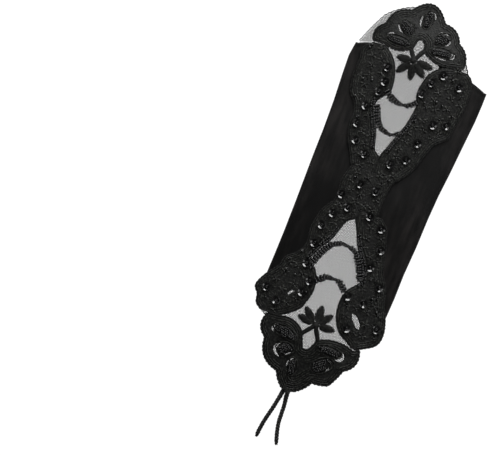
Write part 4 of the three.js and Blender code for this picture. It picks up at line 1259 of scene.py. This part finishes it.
def makeFlower(name, node, flower):
    heart = onSleeve(*flower["centre"])
    meshes, stitches = [], []
    lift = mitten["seatGap"] + 0.4 * mm
    for tip, width, isLeaf in [(t, leafWork["width"], True) for t in flower["tips"]] + \
                              [(t, leafWork["stemWidth"], False) for t in flower["stems"]]:
        tip = onSleeve(*tip)
        if not isLeaf:
            tip = heart + (tip - heart) * leafWork["stemReach"]
        start = heart.lerp(tip, 0.16) if isLeaf else heart
        along = tip - start
        long, direction = along.length, along.normalized()
        aside = Vector((-direction.y, direction.x))
        bm = bmesh.new()
        bmesh.ops.create_uvsphere(bm, u_segments=20, v_segments=10, radius=1)
        for v in bm.verts:
            taper = 1 - 0.55 * max(0, v.co.x) ** 2 - 0.35 * max(0, -v.co.x) ** 2 if isLeaf else 1
            rise = leafWork["rise"] * (0.8 if isLeaf else 0.65)
            v.co = Vector((v.co.x * long / 2, v.co.y * width * 0.42 * taper, v.co.z * rise))
        turn = Matrix.Rotation(math.atan2(direction.y, direction.x), 3, "Z")
        bmesh.ops.rotate(bm, verts=bm.verts, matrix=turn)
        centre = (start + tip) / 2
        bmesh.ops.translate(bm, verts=bm.verts, vec=(centre.x, centre.y, 0))
        drape(bm.verts, lift)
        meshes.append(meshFrom(bm, name))
        count = int(long / leafWork["stitches"])
        for k in range(count):
            t = (k + 0.5) / count
            outer = min(1, t + leafWork["lean"])
            half = width / 2 * (math.sqrt(max(0, 1 - (2 * outer - 1) ** 2)) if isLeaf else 0.75)
            for side in (-1, 1):
                root = start + along * max(0, t - 0.05)
                end = start + along * outer + aside * side * half * random.uniform(0.9, 1.08)
                middlePoint = root.lerp(end, 0.5)
                path = lifted([root, middlePoint, end], lift)
                path[0].z += leafWork["rise"] * 0.8
                path[1].z += leafWork["rise"] * 0.72
                path[2].z -= 0.1 * mm
                stitches.append(path)
    meshes.append(tubeMesh(name, stitches, leafWork["stitch"], 1))
    bm = bmesh.new()
    bmesh.ops.create_uvsphere(bm, u_segments=18, v_segments=10, radius=1)
    bmesh.ops.scale(bm, verts=bm.verts, vec=(2.5 * mm, 2.5 * mm, 1.0 * mm))
    bmesh.ops.translate(bm, verts=bm.verts, vec=(heart.x, heart.y, 0))
    drape(bm.verts, lift)
    meshes.append(meshFrom(bm, name))
    whole = newObject(name, joinedMesh(name, meshes), laceGround)
    hand(whole, [node])


makeFlower("leafFlowerArm", "leaf_flower_arm", flowerArm)
makeFlower("leafFlowerHand", "leaf_flower_hand", flowerHand)
print("leaf flowers made")

# garlands of short strings of beads across a hung line: width in mm, then across, along
swagArcs = {
    "bead_swag_arm_outer": [
        (5, [(-0.168, 0.687), (-0.118, 0.661), (-0.058, 0.648), (-0.008, 0.644)]),
        (4.4, [(-0.008, 0.644), (0.045, 0.652), (0.078, 0.661), (0.1, 0.678)]),
    ],
    "bead_swag_arm_inner": [
        (5, [(-0.221, 0.562), (-0.193, 0.507), (-0.16, 0.467), (-0.112, 0.439), (-0.01, 0.42)]),
        (3, [(-0.01, 0.42), (0.015, 0.426), (0.034, 0.438)]),
    ],
    "bead_swag_hand_inner": [
        (5.2, [(-0.296, -0.577), (-0.272, -0.529), (-0.204, -0.444), (-0.103, -0.403), (-0.05, -0.403)]),
        (5, [(-0.05, -0.403), (0.004, -0.408), (0.066, -0.429), (0.143, -0.506), (0.191, -0.581)]),
    ],
    "bead_swag_hand_outer": [
        (5.2, [(-0.185, -0.687), (-0.165, -0.673), (-0.105, -0.652), (-0.061, -0.653)]),
        (4.6, [(-0.061, -0.653), (-0.025, -0.65), (0.04, -0.668), (0.068, -0.692)]),
    ],
}
swagWork = {
    "pitch": 1.9 * mm, "bead": 1.25 * mm, "waist": 0.45, "lift": 1.3 * mm, "arch": 0.6 * mm, "size": 0.95,
    "core": 0.6, "reach": 2.1 * mm,
}


def makeSwag(node, arcs):
    name = "".join(part.capitalize() if i else part for i, part in enumerate(node.split("_")))
    spots, cores = [], []
    for order, (width, points) in enumerate(arcs):
        points = [onSleeve(*p) for p in points]
        if order == 0:
            points[0] = points[0] + (points[0] - points[1]).normalized() * swagWork["reach"]
        else:
            points[-1] = points[-1] + (points[-1] - points[-2]).normalized() * swagWork["reach"]
        line = smoothLine(points, 0.25 * mm)
        lengths = np.cumsum([0] + [(b - a).length for a, b in zip(line, line[1:])])
        count = round(lengths[-1] / swagWork["pitch"])
        left, right = [], []
        for k in range(count + 1):
            share = k / count
            i = min(int(np.searchsorted(lengths, share * lengths[-1])), len(line) - 2)
            direction = (line[i + 1] - line[max(i - 1, 0)]).normalized()
            aside = Vector((-direction.y, direction.x))
            fromJoint = share if order else 1 - share
            swell = swagWork["waist"] + (1 - swagWork["waist"]) * math.sin(0.75 * math.pi * fromJoint)
            left.append(line[i] + aside * width * mm * swell * swagWork["core"] / 2)
            right.append(line[i] - aside * width * mm * swell * swagWork["core"] / 2)
            across = max(1, round(width * mm * swell / swagWork["bead"]))
            slant = random.uniform(-0.15, 0.15)
            for j in range(across):
                place = j - (across - 1) / 2
                p = line[i] + (aside + slant * direction) * place * swagWork["bead"]
                arch = swagWork["arch"] * (1 - (2 * place / max(across, 2)) ** 2)
                turn = math.atan2(aside.y, aside.x) + slant + random.uniform(-0.2, 0.2)
                tilt = Matrix.Rotation(turn, 3, "Z") @ Matrix.Rotation(math.pi / 2, 3, "Y")
                z = float(frontTop(p.x, p.y)) + swagWork["lift"] + arch
                size = swagWork["size"] * random.uniform(0.92, 1.05)
                spots.append((Vector((p.x, p.y, z)), tilt.to_euler(), (size, size, size)))
        cores.append(plateMesh(name, [left + right[::-1]], laceTop - 0.3 * mm))
    beads = copiesAt(name, beadSource, spots, beadGlass)
    hand(newObject(name, joinedMesh(name, [beads], cores), beadGlass, laceGround), [node])


for node, arcs in swagArcs.items():
    makeSwag(node, arcs)
print("garlands made")


# cup sequins, each held by a bead
def makeSequins(row, places):
    cups, beads = [], []
    for across, along in places:
        p = onSleeve(across, along)
        lean = Vector((random.uniform(-0.1, 0.1), random.uniform(-0.1, 0.1), 0))
        up = (slopeAt(p.x, p.y) + lean).normalized()
        seat = Vector((p.x, p.y, float(frontTop(p.x, p.y)) + laceTop + 0.45 * mm))
        cups.append((seat, turnTo(up, random.random()), (1, 1, 1)))
        beads.append((seat + up * 0.85 * mm, turnTo(up), (0.98, 0.98, 1.05)))
    name = "sequins" + "".join(part.capitalize() for part in row.split("_"))
    nodes = [f"sequin_{row}_{i + 1}" for i in range(len(places))]
    hand(newObject(name, copiesAt(name, cupSource, cups, sequinGloss)), nodes)
    hand(newObject(name + "Beads", copiesAt(name + "Beads", beadSource, beads, beadGlass)))


for row, places in sequinRows.items():
    makeSequins(row, places)
for source in (beadSource, cupSource):
    bpy.data.objects.remove(source)
print("sequins made")

# floor and light
stage = {"paper": 0.1, "glow": 1.02, "world": 0.05}
lights = {  # size, energy, place
    "key": (0.9, 24, (0.1, 1.05, 0.66)),
    "right": (0.8, 3.5, (1.25, -0.35, 1.15)),
    "left": (0.8, 3.5, (-1.25, 0.15, 1.15)),
}


def makeFloor():
    bm = bmesh.new()
    bmesh.ops.create_grid(bm, x_segments=1, y_segments=1, size=3)
    bmesh.ops.translate(bm, verts=bm.verts, vec=(0, 0, -0.1 * mm))
    material, tree, shader = newMaterial(
        "paper", (stage["paper"],) * 3, 0.9,
        **{"Specular IOR Level": 0.1, "Emission Color": (1, 1, 1, 1), "Emission Strength": stage["glow"]},
    )
    floor = newObject("floor", meshFrom(bm, "floor"), material)


def makeLight(name, size, energy, place):
    data = bpy.data.lights.new(name, "AREA")
    data.size = size
    data.energy = energy
    obj = bpy.data.objects.new(name, data)
    obj.location = place
    obj.rotation_euler = Vector(place).to_track_quat("Z", "Y").to_euler()
    scene.collection.objects.link(obj)


makeFloor()
for name, (size, energy, place) in lights.items():
    makeLight(name, size, energy, place)
world = bpy.data.worlds.new("studio")
world.use_nodes = True
world.node_tree.nodes["Background"].inputs["Color"].default_value = (1, 1, 1, 1)
world.node_tree.nodes["Background"].inputs["Strength"].default_value = stage["world"]
scene.world = world
print("stage made")
